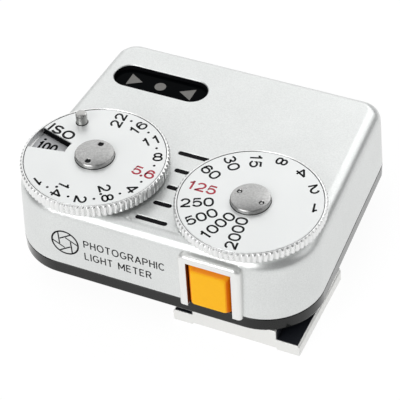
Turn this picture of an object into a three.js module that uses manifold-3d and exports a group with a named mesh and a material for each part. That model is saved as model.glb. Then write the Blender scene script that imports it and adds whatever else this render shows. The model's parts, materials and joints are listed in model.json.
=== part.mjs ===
// Clip-on light meter for a camera's accessory shoe, in millimetres, +Z up.
// The base plate's underside is z = 0 while the parts are laid out. X runs from the aperture dial to the
// shutter dial, and Y from the photographer's side (rear, with the button) to the subject's side (front).
// The last lines move the whole group so that the origin is the centre of the foot's underside.
import * as THREE from "three";
import { mergeVertices } from "three/addons/utils/BufferGeometryUtils.js";
import Module from "manifold-3d";

const wasm = await Module();
wasm.setup();

// ---------------------------------------------------------------- driving dimensions
const BODY_DEPTH = 37.4;
// Plan corners as [x, y, radius], anticlockwise. The sides run in by 3 degrees towards the front.
const BODY_CORNERS = [[35.56, 8.2, 8.2], [39.25, 34.2, 3.2], [3.63, 34.2, 3.2], [7.39, 8.2, 8.2]];
const PLATE_TOP = 2.1; // base plate thickness, and where the cover starts
const COVER_TOP = 12.2;
const EDGE_ROUND = 1.9; // round between the cover's top and its sides
const BODY_MIDDLE = { x: 21.4, y: 18.7 };
const DRAFT = 0.002; // the cover's plan shrinks about its middle by this share for each millimetre of height
const WALL = 1.2;
const CEILING = COVER_TOP - WALL; // underside of the cover's top
const FIT = 0.05; // clearance between pieces that are fixed together
const RUNNING = 0.1; // clearance around pieces that turn or slide

const DIAL_RADIUS = 10.3; // over the knurling
const FACE_RADIUS = 9.8;
const KNURL_TEETH = 84;
const KNURL_DEPTH = 0.28;
const APERTURE = { name: "aperture", x: 9.8, y: 9.6, floor: 12.6, top: 14.4, lip: 0.1, clickAt: 150 };
const SHUTTER = { name: "shutter", x: 32.9, y: 9.6, floor: 12.5, top: 14.0, lip: 0.1, clickAt: 30 };
const FACE_THICKNESS = 0.9;
const STOP_DEGREES = 24; // both dials turn this far for one exposure step
const DIAL_NUT_RADIUS = 2.72;
const DIAL_NUT_HEIGHT = 0.65;

const BOARD = { bottom: 7.2, top: 8.2 };
const BATTERY = { x: 16.5, y: 19.6, radius: 5.8, height: 5.38, bottom: 0.45 };
const CAP = { radius: 6.5, hole: 6.6, bottom: -1.2, top: 0.1 };
const INDICATOR = { x: 10.3, y: 29.3, length: 14.6, width: 4.7 };
const BUTTON = { x: 31.0, width: 5.8, gap: 0.4, bottom: 2.5, top: 9.8, proud: 0.9, travel: 0.75 };
const CELL = { x: 31.5, z: 6.9, radius: 3.0 };
const FOOT = {
  left: 24.6, width: 18.6, rear: 0.85, length: 16.1,
  underside: -3.5, flange: -1.6, neckLeft: 27.5, neckWidth: 12.3, channel: 0.3,
};
const COVER_POSTS = [[4.3, 4.3], [39.3, 19.5], [39.0, 33.5], [3.5, 23.5]];
const BOARD_PILLARS = [[24.8, 30.0], [21.4, 5.0]];
const FOOT_SCREWS = [[29.6, 3.2], [37.7, 3.2], [29.6, 14.6], [37.7, 14.6]];

// ---------------------------------------------------------------- finishes
const finish = (color, roughness, metalness) =>
  new THREE.MeshStandardMaterial({ color, roughness, metalness });
const SATIN_SILVER = finish(0xdfe2e1, 0.42, 0.5);
const DIAL_SILVER = finish(0xe6e8e7, 0.38, 0.6);
const FACE_SILVER = finish(0xeceeed, 0.5, 0.3);
const DARK_GREY = finish(0x35332f, 0.5, 0.1);
const BRIGHT_STEEL = finish(0xb9b7b3, 0.3, 0.9);
const SPRING_STEEL = finish(0x8d8f92, 0.35, 0.9);
const BLACK_STEEL = finish(0x14161a, 0.45, 0.6);
const BRASS = finish(0xc8a54b, 0.35, 0.9);
const ORANGE = finish(0xff9d1c, 0.3, 0.0);
const BLACK_PLASTIC = finish(0x101011, 0.5, 0.0);
const SMOKE_ACRYLIC = finish(0x0b0d0e, 0.1, 0.0);
const DIFFUSER = finish(0x9a9690, 0.5, 0.0);
const BOARD_GREEN = finish(0x1f5a37, 0.5, 0.0);
const CELL_GLASS = finish(0xdfe6e4, 0.25, 0.0);
const LED_RED = finish(0xb8402f, 0.3, 0.0);
const RUBBER = finish(0x181818, 0.8, 0.0);

// ---------------------------------------------------------------- shape helpers
const point = (x, y) => new THREE.Vector2(x, y);

/** A closed geometry as a manifold-3d solid. */
function solid(geometry) {
  const bare = geometry.clone();
  for (const name of Object.keys(bare.attributes)) if (name !== "position") bare.deleteAttribute(name);
  const merged = mergeVertices(bare, 1e-3);
  const vertProperties = new Float32Array(merged.attributes.position.array);
  const triVerts = new Uint32Array(merged.index.array);
  return new wasm.Manifold(new wasm.Mesh({ numProp: 3, vertProperties, triVerts }));
}

/** A manifold-3d solid as a three.js geometry. */
function geometryOf(manifold) {
  const mesh = manifold.getMesh();
  const geometry = new THREE.BufferGeometry();
  geometry.setAttribute("position", new THREE.BufferAttribute(mesh.vertProperties, 3));
  geometry.setIndex(new THREE.BufferAttribute(mesh.triVerts, 1));
  geometry.computeVertexNormals();
  return geometry;
}

const cut = (base, ...tools) => geometryOf(tools.reduce((s, tool) => s.subtract(solid(tool)), solid(base)));
const join = (base, ...more) => geometryOf(more.reduce((s, piece) => s.add(solid(piece)), solid(base)));

/** An upright prism of a plan shape between two heights. */
function prism(shape, z0, z1, curveSegments = 12) {
  const geometry = new THREE.ExtrudeGeometry(shape, { depth: z1 - z0, bevelEnabled: false, curveSegments });
  return geometry.translate(0, 0, z0);
}

function box(x0, x1, y0, y1, z0, z1) {
  const geometry = new THREE.BoxGeometry(x1 - x0, y1 - y0, z1 - z0);
  return geometry.translate((x0 + x1) / 2, (y0 + y1) / 2, (z0 + z1) / 2);
}

/** An upright cylinder. */
function disc(x, y, radius, z0, z1, sides = 28) {
  const geometry = new THREE.CylinderGeometry(radius, radius, z1 - z0, sides);
  return geometry.rotateX(Math.PI / 2).translate(x, y, (z0 + z1) / 2);
}

/** A cylinder lying along Y. */
function rod(x, z, radius, y0, y1, sides = 20) {
  const geometry = new THREE.CylinderGeometry(radius, radius, y1 - y0, sides);
  return geometry.translate(x, (y0 + y1) / 2, z);
}

/** A solid of revolution about an upright axis: the profile is a closed loop of [radius, z]. */
function turned(x, y, profile, sides = 28) {
  const area = profile.reduce((sum, [r, z], i) => {
    const [nextR, nextZ] = profile[(i + 1) % profile.length];
    return sum + r * nextZ - nextR * z;
  }, 0);
  const loop = area > 0 ? [...profile] : [...profile].reverse();
  if (loop.every(([r]) => r > 0)) loop.push(loop[0]);
  else while (loop[0][0] > 0 || loop[loop.length - 1][0] > 0) loop.push(loop.shift());
  const geometry = new THREE.LatheGeometry(loop.map(([r, z]) => point(r, z)), sides);
  return geometry.rotateX(Math.PI / 2).translate(x, y, 0);
}

/** A flat ring between two heights. */
const ring = (x, y, inner, outer, z0, z1, sides = 28) =>
  turned(x, y, [[inner, z0], [outer, z0], [outer, z1], [inner, z1]], sides);

/** The body's plan outline, pulled in from its edge by `inset`. */
function bodyOutline(inset) {
  const normals = BODY_CORNERS.map(([x, y, r], i) => {
    const [nextX, nextY, nextR] = BODY_CORNERS[(i + 1) % 4];
    const along = Math.atan2(nextY - y, nextX - x);
    return along - Math.acos((r - nextR) / Math.hypot(nextX - x, nextY - y));
  });
  const shape = new THREE.Shape();
  BODY_CORNERS.forEach(([x, y, r], i) => {
    const start = normals[(i + 3) % 4];
    const turn = (normals[i] - start + 4 * Math.PI) % (2 * Math.PI);
    shape.absarc(x, y, r - inset, start, start + turn);
  });
  return shape;
}

/** The body's outline as a slab whose edges are rounded top and bottom. */
function roundedSlab(z0, z1, round, bevelSegments) {
  const geometry = new THREE.ExtrudeGeometry(bodyOutline(0), {
    depth: z1 - z0 - 2 * round, bevelThickness: round, bevelSize: round, bevelOffset: -round,
    bevelSegments, curveSegments: 5,
  });
  return geometry.translate(0, 0, z0 + round);
}

/** Leans a geometry's sides inwards above the base plate, as a casting's draft does. */
function drafted(geometry) {
  const place = geometry.attributes.position;
  for (let i = 0; i < place.count; i++) {
    const scale = 1 - DRAFT * (place.getZ(i) - PLATE_TOP);
    place.setX(i, BODY_MIDDLE.x + (place.getX(i) - BODY_MIDDLE.x) * scale);
    place.setY(i, BODY_MIDDLE.y + (place.getY(i) - BODY_MIDDLE.y) * scale);
  }
  return geometry;
}

/** A slot with round ends, centred on (x, y). */
function stadium(x, y, length, width) {
  const half = (length - width) / 2;
  const shape = new THREE.Shape();
  shape.absarc(x + half, y, width / 2, -Math.PI / 2, Math.PI / 2);
  shape.absarc(x - half, y, width / 2, Math.PI / 2, Math.PI * 1.5);
  return shape;
}

/** Part of a ring, between two angles in degrees. */
function sector(x, y, inner, outer, from, to) {
  const [a, b] = [THREE.MathUtils.degToRad(from), THREE.MathUtils.degToRad(to)];
  const shape = new THREE.Shape();
  shape.absarc(x, y, outer, a, b, false);
  shape.absarc(x, y, inner, b, a, true);
  return shape;
}

/** A coil spring of round wire, as one swept solid. The coil runs along Z from z0 to z1. */
function coil(radius, wire, z0, z1, turns) {
  const helix = new (class extends THREE.Curve {
    getPoint(t) {
      const angle = t * turns * 2 * Math.PI;
      return new THREE.Vector3(
        radius * Math.cos(angle), radius * Math.sin(angle), z0 + wire / 2 + (z1 - z0 - wire) * t);
    }
  })();
  const section = new THREE.Shape();
  section.absarc(0, 0, wire / 2, 0, 2 * Math.PI);
  return new THREE.ExtrudeGeometry(section, { steps: turns * 9, extrudePath: helix, curveSegments: 2 });
}

/** A countersunk screw pointing up, as a profile for turned(). */
const screwProfile = (head, shank, z0, sink, z1) =>
  [[0, z0], [head, z0], [shank, z0 + sink], [shank, z1], [0, z1]];

/** A screw's cross slot, as two bars cut into its head. */
const crossSlot = (x, y, z0, depth, reach) => [
  box(x - reach, x + reach, y - 0.13, y + 0.13, z0 - 0.1, z0 + depth),
  box(x - 0.13, x + 0.13, y - reach, y + reach, z0 - 0.1, z0 + depth),
];

const group = new THREE.Group();
function add(name, geometry, material) {
  const mesh = new THREE.Mesh(geometry, material);
  mesh.name = name;
  group.add(mesh);
}

// ---------------------------------------------------------------- top cover
/** The inverted U that frames the button, standing proud of the cover's rear face. */
function buttonSurround() {
  const legWidth = 1.25;
  const barHeight = 1.5;
  const inner = BUTTON.width / 2 + BUTTON.gap;
  const outer = inner + legWidth;
  const corner = 1.1;
  const top = BUTTON.top + 0.1 + barHeight;
  const low = PLATE_TOP - 0.2;
  const shape = new THREE.Shape();
  shape.moveTo(-outer, low);
  shape.lineTo(-inner, low);
  shape.lineTo(-inner, BUTTON.top + 0.1);
  shape.lineTo(inner, BUTTON.top + 0.1);
  shape.lineTo(inner, low);
  shape.lineTo(outer, low);
  shape.lineTo(outer, top - corner);
  shape.absarc(outer - corner, top - corner, corner, 0, Math.PI / 2);
  shape.lineTo(-outer + corner, top);
  shape.absarc(-outer + corner, top - corner, corner, Math.PI / 2, Math.PI);
  const proud = 0.65;
  const root = 1.1; // how far the rib reaches into the cover's wall
  const rib = prism(shape, 0, proud + root, 4).rotateX(Math.PI / 2).translate(BUTTON.x, root, 0);
  const clearOfPlate = box(20, 42, -FIT, 2, -1, PLATE_TOP + FIT);
  return cut(rib, clearOfPlate);
}

/** Under each dial: the bearing hole, the click ball's pocket and the curved groove for the stop pin. */
const GROOVE = { radius: 5.6, width: 1.2, depth: 0.6 };
const CLICK = { reach: 7.4, pocket: 0.75, bottom: 9.9 };
const STOP_PIN_RADIUS = 0.5;
const clickPlace = (dial) => {
  const angle = THREE.MathUtils.degToRad(dial.clickAt);
  return [dial.x + CLICK.reach * Math.cos(angle), dial.y + CLICK.reach * Math.sin(angle)];
};
const dialTurn = {
  aperture: { pinAt: 258, back: -96, forward: 120 },
  shutter: { pinAt: 234, back: -96, forward: 168 },
};
const grooveMargin = 8;
function dialCuts(dial) {
  const { pinAt, back, forward } = dialTurn[dial.name];
  const arc = sector(dial.x, dial.y, GROOVE.radius - GROOVE.width / 2, GROOVE.radius + GROOVE.width / 2,
    pinAt + back - grooveMargin, pinAt + forward + grooveMargin);
  return [
    disc(dial.x, dial.y, 2.65, CEILING - 1, COVER_TOP + 1),
    disc(...clickPlace(dial), CLICK.pocket, CLICK.bottom, COVER_TOP + 1, 14),
    prism(arc, COVER_TOP - GROOVE.depth, COVER_TOP + 1, 11),
  ];
}

function topCover() {
  const outside = cut(drafted(roundedSlab(-3, COVER_TOP, EDGE_ROUND, 4)), box(-1, 50, -1, 45, -5, PLATE_TOP));
  const shell = cut(outside, prism(bodyOutline(WALL), PLATE_TOP - 1, CEILING, 5));
  const posts = COVER_POSTS.map(([x, y]) => disc(x, y, 1.6, PLATE_TOP, CEILING + 0.3, 12));
  const pillars = BOARD_PILLARS.map(([x, y]) => disc(x, y, 1.5, BOARD.top, CEILING + 0.3, 12));
  const pockets = [APERTURE, SHUTTER].map((dial) =>
    disc(...clickPlace(dial), 1.35, CLICK.bottom - 0.5, CEILING + 0.3, 12));
  const withBosses = join(shell, buttonSurround(), ...posts, ...pillars, ...pockets);
  const half = BUTTON.width / 2 + BUTTON.gap;
  const holes = [
    ...COVER_POSTS.map(([x, y]) => disc(x, y, 0.65, PLATE_TOP - 1, CEILING - 2, 8)),
    ...BOARD_PILLARS.map(([x, y]) => disc(x, y, 0.6, BOARD.top - 1, CEILING - 0.5, 8)),
    ...dialCuts(APERTURE), ...dialCuts(SHUTTER),
    prism(stadium(INDICATOR.x, INDICATOR.y, INDICATOR.length, INDICATOR.width), CEILING - 1, COVER_TOP + 1, 8),
    disc(BATTERY.x, BATTERY.y, 5.2, CEILING - 1, CEILING + 0.5, 28),
    box(BATTERY.x, 25.2, BATTERY.y - 1.3, BATTERY.y + 1.3, CEILING - 1, CEILING + 0.5),
    box(BUTTON.x - half, BUTTON.x + half, -2, WALL + 1, PLATE_TOP - 1, BUTTON.top + 0.1),
    rod(CELL.x, CELL.z, CELL.radius, BODY_DEPTH - WALL - 1, BODY_DEPTH + 1, 28),
  ];
  const indexPitch = 3.4;
  const indexCentre = { x: 21.35, y: 9.82 };
  [-2, -1, 0, 1, 2].forEach((k) => {
    const halfLength = [0.95, 1.35, 2.35][Math.abs(k)];
    const y = indexCentre.y + k * indexPitch;
    holes.push(box(indexCentre.x - halfLength, indexCentre.x + halfLength,
      y - 0.3, y + 0.3, COVER_TOP - 0.25, COVER_TOP + 1));
  });
  return cut(withBosses, ...holes);
}
add("top_cover", topCover(), SATIN_SILVER);

// ---------------------------------------------------------------- base plate and foot
const BASE_SCREW = { head: 1.35, shank: 0.6, sink: 0.7 };
const FOOT_SCREW = { head: 1.45, shank: 0.65, sink: 0.75 };

function basePlate() {
  const slab = cut(roundedSlab(0, 5, 0.5, 2), box(-1, 50, -1, 45, PLATE_TOP, 8));
  const lipWall = prism(bodyOutline(WALL + 0.15), PLATE_TOP - 0.2, PLATE_TOP + 0.8, 5);
  const lip = cut(lipWall, prism(bodyOutline(WALL + 0.85), PLATE_TOP - 1, PLATE_TOP + 2, 5));
  const boss = disc(BATTERY.x, BATTERY.y, CAP.hole + 0.9, -0.9, 0.6, 40);
  const holes = [
    disc(BATTERY.x, BATTERY.y, CAP.hole, -3, PLATE_TOP + 1, 40),
    box(BUTTON.x - 4.2, BUTTON.x + 4.2, 0.5, 4, PLATE_TOP, PLATE_TOP + 2),
    ...COVER_POSTS.map(([x, y]) => disc(x, y, 1.8, PLATE_TOP, PLATE_TOP + 2, 12)),
    ...COVER_POSTS.map(([x, y]) => turned(x, y,
      screwProfile(BASE_SCREW.head + 0.2, BASE_SCREW.shank + 0.1, -0.1, BASE_SCREW.sink + 0.1, 4), 14)),
    ...FOOT_SCREWS.map(([x, y]) => disc(x, y, FOOT_SCREW.shank + FIT, -1, PLATE_TOP - 0.3, 12)),
  ];
  return cut(join(slab, lip, boss), ...holes);
}
add("base_plate", basePlate(), DARK_GREY);

function accessoryFoot() {
  const right = FOOT.left + FOOT.width;
  const neckRight = FOOT.neckLeft + FOOT.neckWidth;
  const edge = 0.45; // chamfer along the outer edges
  const shape = new THREE.Shape([
    point(FOOT.left, FOOT.underside), point(FOOT.neckLeft, FOOT.underside),
    point(FOOT.neckLeft, FOOT.underside + FOOT.channel), point(neckRight, FOOT.underside + FOOT.channel),
    point(neckRight, FOOT.underside), point(right, FOOT.underside),
    point(right, FOOT.flange - edge), point(right - edge, FOOT.flange),
    point(neckRight, FOOT.flange), point(neckRight, 0), point(FOOT.neckLeft, 0),
    point(FOOT.neckLeft, FOOT.flange), point(FOOT.left + edge, FOOT.flange),
    point(FOOT.left, FOOT.flange - edge),
  ]);
  const bar = prism(shape, 0, FOOT.length).rotateX(Math.PI / 2).translate(0, FOOT.rear + FOOT.length, 0);
  const lead = 0.5; // the leading corners are cut so that the foot finds the shoe
  const front = FOOT.rear + FOOT.length;
  const corners = [FOOT.left, right].map((x) => {
    const tool = box(-lead, lead, -lead, lead, -5, 1).rotateZ(Math.PI / 4);
    return tool.translate(x, front, 0);
  });
  const screwHoles = FOOT_SCREWS.map(([x, y]) => turned(x, y, screwProfile(FOOT_SCREW.head + 0.15,
    FOOT_SCREW.shank + 0.1, FOOT.underside + FOOT.channel - 0.1, FOOT_SCREW.sink + 0.1, 1), 14));
  return cut(bar, ...corners, ...screwHoles);
}
add("accessory_foot", accessoryFoot(), DIAL_SILVER);

const gripSpring = { thickness: 0.2, inset: 0.5 };
const gripEnds = [FOOT.rear + 0.15, FOOT.rear + FOOT.length - 1.8];
add("grip_spring_left", box(FOOT.left + gripSpring.inset, FOOT.neckLeft - FIT, ...gripEnds,
  FOOT.flange, FOOT.flange + gripSpring.thickness), BLACK_STEEL);
add("grip_spring_right", box(FOOT.neckLeft + FOOT.neckWidth + FIT, FOOT.left + FOOT.width - gripSpring.inset,
  ...gripEnds, FOOT.flange, FOOT.flange + gripSpring.thickness), BLACK_STEEL);

FOOT_SCREWS.forEach(([x, y], i) => {
  const z0 = FOOT.underside + FOOT.channel + FIT;
  const screw = turned(x, y, screwProfile(FOOT_SCREW.head, FOOT_SCREW.shank, z0, FOOT_SCREW.sink, 1.6), 14);
  add(`foot_screw_${i + 1}`, cut(screw, ...crossSlot(x, y, z0, 0.4, 0.8)), BRIGHT_STEEL);
});

COVER_POSTS.forEach(([x, y], i) => {
  const screw = turned(x, y, screwProfile(BASE_SCREW.head, BASE_SCREW.shank, FIT, BASE_SCREW.sink, 6.5), 14);
  add(`base_screw_${i + 1}`, cut(screw, ...crossSlot(x, y, FIT, 0.35, 0.7)), BLACK_STEEL);
});

// ---------------------------------------------------------------- dials
/** A gear-like outline with V-shaped teeth. */
function knurlOutline(x, y) {
  const corners = [];
  for (let i = 0; i < 2 * KNURL_TEETH; i++) {
    const angle = (i * Math.PI) / KNURL_TEETH;
    const r = DIAL_RADIUS - (i % 2) * KNURL_DEPTH;
    corners.push(point(x + r * Math.cos(angle), y + r * Math.sin(angle)));
  }
  return new THREE.Shape(corners);
}

const SPINDLE_RADIUS = 1.5;
const BOSS_RADIUS = 1.9;
const bossTop = (dial) => dial.top + 0.05; // the hub stands proud, so the nut does not pinch the face disc

/** The grip ring: a shallow cup with a knurled rim, a hub for the spindle and the stop pin below. */
function gripRing(dial, floorThickness) {
  const rim = prism(knurlOutline(dial.x, dial.y), dial.floor, dial.top - dial.lip);
  const cup = cut(rim, disc(dial.x, dial.y, FACE_RADIUS + FIT, dial.floor + floorThickness, dial.top + 1, 56));
  const hub = disc(dial.x, dial.y, BOSS_RADIUS, dial.floor + 0.1, bossTop(dial));
  const angle = THREE.MathUtils.degToRad(dialTurn[dial.name].pinAt);
  const stopPin = disc(dial.x + GROOVE.radius * Math.cos(angle), dial.y + GROOVE.radius * Math.sin(angle),
    STOP_PIN_RADIUS, COVER_TOP - GROOVE.depth + 0.15, dial.floor + 0.2, 12);
  return cut(join(cup, hub, stopPin), disc(dial.x, dial.y, SPINDLE_RADIUS + FIT, dial.floor - 1, dial.top + 2));
}

/** The printed disc in the cup. */
function faceDisc(dial) {
  const plate = disc(dial.x, dial.y, FACE_RADIUS - FIT, dial.top - FACE_THICKNESS, dial.top, 56);
  return cut(plate, disc(dial.x, dial.y, BOSS_RADIUS + RUNNING, dial.top - 3, dial.top + 1));
}

/** The pieces that are the same in both dials. */
function addDialHardware(dial) {
  const { name, x, y } = dial;
  const clip = { bottom: 9.78, top: 10.03, groove: 1.1 };
  const spindleBottom = 8.6;
  const boreDepth = 3.3;
  const spindleTop = bossTop(dial);
  const spindle = turned(x, y, [
    [0, spindleBottom], [SPINDLE_RADIUS, spindleBottom], [SPINDLE_RADIUS, clip.bottom - 0.03],
    [clip.groove, clip.bottom - 0.03], [clip.groove, clip.top + 0.03], [SPINDLE_RADIUS, clip.top + 0.03],
    [SPINDLE_RADIUS, spindleTop], [0.85, spindleTop], [0.85, spindleTop - boreDepth],
    [0, spindleTop - boreDepth],
  ], 24);
  add(`${name}_spindle`, spindle, BRIGHT_STEEL);

  const bearing = turned(x, y, [
    [SPINDLE_RADIUS + RUNNING, 10.2], [3.6, 10.2], [3.6, CEILING - FIT], [2.6, CEILING - FIT],
    [2.6, dial.floor - RUNNING], [SPINDLE_RADIUS + RUNNING, dial.floor - RUNNING],
  ], 24);
  add(`${name}_bearing`, bearing, BRASS);

  add(`${name}_retaining_clip`,
    prism(sector(x, y, clip.groove + FIT, 2.6, -50, 230), clip.bottom, clip.top, 10), SPRING_STEEL);

  const wiperHub = ring(x, y, SPINDLE_RADIUS + FIT, 2.4, 8.9, 9.3, 20);
  const arm = box(x - 0.6, x + 0.6, y + 2.0, y + 3.5, 8.9, 9.1);
  const brush = box(x - 0.5, x + 0.5, y + 3.1, y + 3.4, BOARD.top + 0.05, 9.0);
  add(`${name}_wiper`, join(wiperHub, arm, brush), SPRING_STEEL);

  const nutBottom = bossTop(dial);
  const nutTop = nutBottom + DIAL_NUT_HEIGHT;
  const nut = turned(x, y, [
    [0, nutTop], [DIAL_NUT_RADIUS - 0.1, nutTop], [DIAL_NUT_RADIUS, nutTop - 0.1],
    [DIAL_NUT_RADIUS, nutBottom], [0.8, nutBottom], [0.8, nutBottom - 3], [0, nutBottom - 3],
  ], 36);
  const keyAngle = THREE.MathUtils.degToRad(name === "aperture" ? 87.5 : 164);
  const keyHoles = [0, Math.PI].map((turn) => disc(x + 1.85 * Math.cos(keyAngle + turn),
    y + 1.85 * Math.sin(keyAngle + turn), 0.32, nutTop - 0.4, nutTop + 1, 12));
  add(`${name}_dial_nut`, cut(nut, ...keyHoles), BRIGHT_STEEL);

  const ballRadius = 0.65;
  const ballCentre = dial.floor - 0.03 - ballRadius;
  const [clickX, clickY] = clickPlace(dial);
  add(`${name}_click_ball`, new THREE.SphereGeometry(ballRadius, 10, 6).rotateX(Math.PI / 2)
    .translate(clickX, clickY, ballCentre), BRIGHT_STEEL);
  add(`${name}_click_spring`, coil(0.42, 0.18, CLICK.bottom + 0.02, ballCentre - ballRadius - 0.02, 3)
    .translate(clickX, clickY, 0), SPRING_STEEL);
}

const ISO_WINDOW = { angle: 176.2, halfAngle: 13, inner: 4.3 };
const apertureRing = gripRing(APERTURE, 0.7);
add("aperture_grip_ring", apertureRing, DIAL_SILVER);
const isoPin = { reach: 7.5, angle: THREE.MathUtils.degToRad(130.5), radius: 0.8, height: 1.6, tenon: 0.45 };
const isoPinX = APERTURE.x + isoPin.reach * Math.cos(isoPin.angle);
const isoPinY = APERTURE.y + isoPin.reach * Math.sin(isoPin.angle);
const windowCut = prism(sector(APERTURE.x, APERTURE.y, ISO_WINDOW.inner, FACE_RADIUS + 1,
  ISO_WINDOW.angle - ISO_WINDOW.halfAngle, ISO_WINDOW.angle + ISO_WINDOW.halfAngle),
APERTURE.top - 2, APERTURE.top + 1, 3);
add("aperture_face_disc", cut(faceDisc(APERTURE), windowCut,
  disc(isoPinX, isoPinY, isoPin.tenon + FIT, APERTURE.top - 3, APERTURE.top + 1, 12)), FACE_SILVER);
add("iso_setting_pin", turned(isoPinX, isoPinY, [
  [0, APERTURE.top - 0.7], [isoPin.tenon, APERTURE.top - 0.7], [isoPin.tenon, APERTURE.top + 0.01],
  [isoPin.radius, APERTURE.top + 0.01], [isoPin.radius, APERTURE.top + isoPin.height - 0.12],
  [isoPin.radius - 0.12, APERTURE.top + isoPin.height], [0, APERTURE.top + isoPin.height],
], 20), BRIGHT_STEEL);
addDialHardware(APERTURE);

add("shutter_grip_ring", gripRing(SHUTTER, SHUTTER.top - FACE_THICKNESS - SHUTTER.floor), DIAL_SILVER);
add("shutter_face_disc", faceDisc(SHUTTER), FACE_SILVER);
addDialHardware(SHUTTER);

// ---------------------------------------------------------------- measuring button and switch
const STUD = { z: 5.7, radius: 0.8, tip: 5.35 };
const SWITCH = { y: 8.6, width: 4.0, plunger: 0.6 };
function measuringButton() {
  const half = BUTTON.width / 2;
  const middle = (BUTTON.bottom + BUTTON.top) / 2;
  const halfHeight = (BUTTON.top - BUTTON.bottom) / 2 - 0.1;
  const round = 0.5;
  const shape = new THREE.Shape([point(-half + round, -halfHeight + round), point(half - round, -halfHeight + round),
    point(half - round, halfHeight - round), point(-half + round, halfHeight - round)]);
  const key = new THREE.ExtrudeGeometry(shape, {
    depth: BUTTON.proud + 1.6 - 2 * round, bevelThickness: round, bevelSize: round, bevelSegments: 3,
  }).translate(0, 0, -1.6 + round).rotateX(Math.PI / 2).translate(BUTTON.x, 0, middle);
  const flange = box(BUTTON.x - half - 0.9, BUTTON.x + half + 0.9, WALL + 0.1, WALL + 0.9,
    BUTTON.bottom - 0.2, BUTTON.top + 0.6);
  return join(key, flange, rod(BUTTON.x, STUD.z, STUD.radius, 1.5, STUD.tip, 16));
}
add("measuring_button", measuringButton(), ORANGE);
add("button_return_spring", coil(1.1, 0.28, WALL + 1.0, SWITCH.y - 0.1, 5).rotateX(-Math.PI / 2)
  .translate(BUTTON.x, 0, STUD.z), SPRING_STEEL);
add("measuring_switch", join(
  box(BUTTON.x - SWITCH.width / 2, BUTTON.x + SWITCH.width / 2, SWITCH.y, SWITCH.y + 2.8, 4.2, BOARD.bottom),
  rod(BUTTON.x, STUD.z, SWITCH.plunger, STUD.tip + BUTTON.travel, SWITCH.y + 0.5, 12)), BLACK_PLASTIC);

// ---------------------------------------------------------------- indicator lamps and window
const SYMBOL = { reach: 4.95, half: 1.25, tip: 1.1, circle: 0.85 };
/** Plan shape of one lit symbol: an arrowhead pointing inwards on each side and a dot between. */
function symbolShape(side, grow) {
  if (side === 0) {
    const dot = new THREE.Shape();
    dot.absarc(INDICATOR.x, INDICATOR.y, SYMBOL.circle + grow, 0, 2 * Math.PI);
    return dot;
  }
  const base = INDICATOR.x + side * (SYMBOL.reach + SYMBOL.tip / 2 - 0.4 + grow);
  const tip = base - side * (2 * SYMBOL.tip + 3 * grow);
  const wide = SYMBOL.half + 2 * grow;
  return new THREE.Shape([point(base, INDICATOR.y - wide), point(base, INDICATOR.y + wide),
    point(tip, INDICATOR.y)]);
}
const WINDOW = { bottom: 10.72, flangeTop: 10.95, top: 11.45 };
const MASK = { bottom: 9.65, top: 10.7 };
const sides = [["left", -1], ["centre", 0], ["right", 1]];
add("indicator_window", join(
  prism(stadium(INDICATOR.x, INDICATOR.y, INDICATOR.length + 0.8, INDICATOR.width + 0.8),
    WINDOW.bottom, WINDOW.flangeTop, 8),
  prism(stadium(INDICATOR.x, INDICATOR.y, INDICATOR.length - 0.1, INDICATOR.width - 0.1),
    WINDOW.bottom + 0.1, WINDOW.top, 8)), SMOKE_ACRYLIC);
add("indicator_mask", cut(
  prism(stadium(INDICATOR.x, INDICATOR.y, INDICATOR.length + 0.8, INDICATOR.width + 0.8),
    MASK.bottom, MASK.top, 8),
  ...sides.map(([, side]) => prism(symbolShape(side, 0.06), MASK.bottom - 1, MASK.top + 1, 6))), BLACK_PLASTIC);
for (const [name, side] of sides) {
  add(`light_pipe_${name}`, prism(symbolShape(side, 0), MASK.bottom + 0.05, MASK.top - 0.02, 6), DIFFUSER);
  const x = INDICATOR.x + side * SYMBOL.reach;
  const led = turned(x, INDICATOR.y, [[0, BOARD.top], [1.1, BOARD.top], [1.1, BOARD.top + 0.4],
    [0.8, BOARD.top + 0.4], [0.8, BOARD.top + 0.9], [0.5, BOARD.top + 1.25], [0, BOARD.top + 1.25]], 14);
  add(`indicator_lamp_${name}`, led, LED_RED);
}

// ---------------------------------------------------------------- circuit board and its parts
function circuitBoard() {
  const holes = [
    disc(BATTERY.x, BATTERY.y, 7.2, 5, 10, 32),
    box(BUTTON.x - 4.6, BUTTON.x + 4.6, 0, 3.9, 5, 10),
    box(CELL.x - 4.7, CELL.x + 4.7, 29.88, 40, 5, 10),
    ...COVER_POSTS.map(([x, y]) => disc(x, y, 1.9, 5, 10, 16)),
    ...BOARD_PILLARS.map(([x, y]) => disc(x, y, 0.7, 5, 10, 10)),
  ];
  return cut(prism(bodyOutline(WALL + 0.5), BOARD.bottom, BOARD.top, 5), ...holes);
}
add("circuit_board", circuitBoard(), BOARD_GREEN);
add("meter_chip", box(25.6, 30.6, 18.2, 24.4, BOARD.top, BOARD.top + 1.3), BLACK_PLASTIC);
const TRIMMER = { x: 34.9, y: 25.0, radius: 1.5 };
add("calibration_trimmer", cut(disc(TRIMMER.x, TRIMMER.y, TRIMMER.radius, BOARD.top, BOARD.top + 1.1, 18),
  box(TRIMMER.x - 1, TRIMMER.x + 1, TRIMMER.y - 0.2, TRIMMER.y + 0.2, BOARD.top + 0.8, BOARD.top + 2)), BRASS);
BOARD_PILLARS.forEach(([x, y], i) => {
  const z0 = BOARD.bottom - 0.6;
  const screw = turned(x, y, [[0, z0], [1.2, z0], [1.2, BOARD.bottom], [0.55, BOARD.bottom],
    [0.55, CEILING - 0.8], [0, CEILING - 0.8]], 14);
  add(`board_screw_${i + 1}`, cut(screw, ...crossSlot(x, y, z0, 0.3, 0.7)), BRIGHT_STEEL);
});

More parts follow.
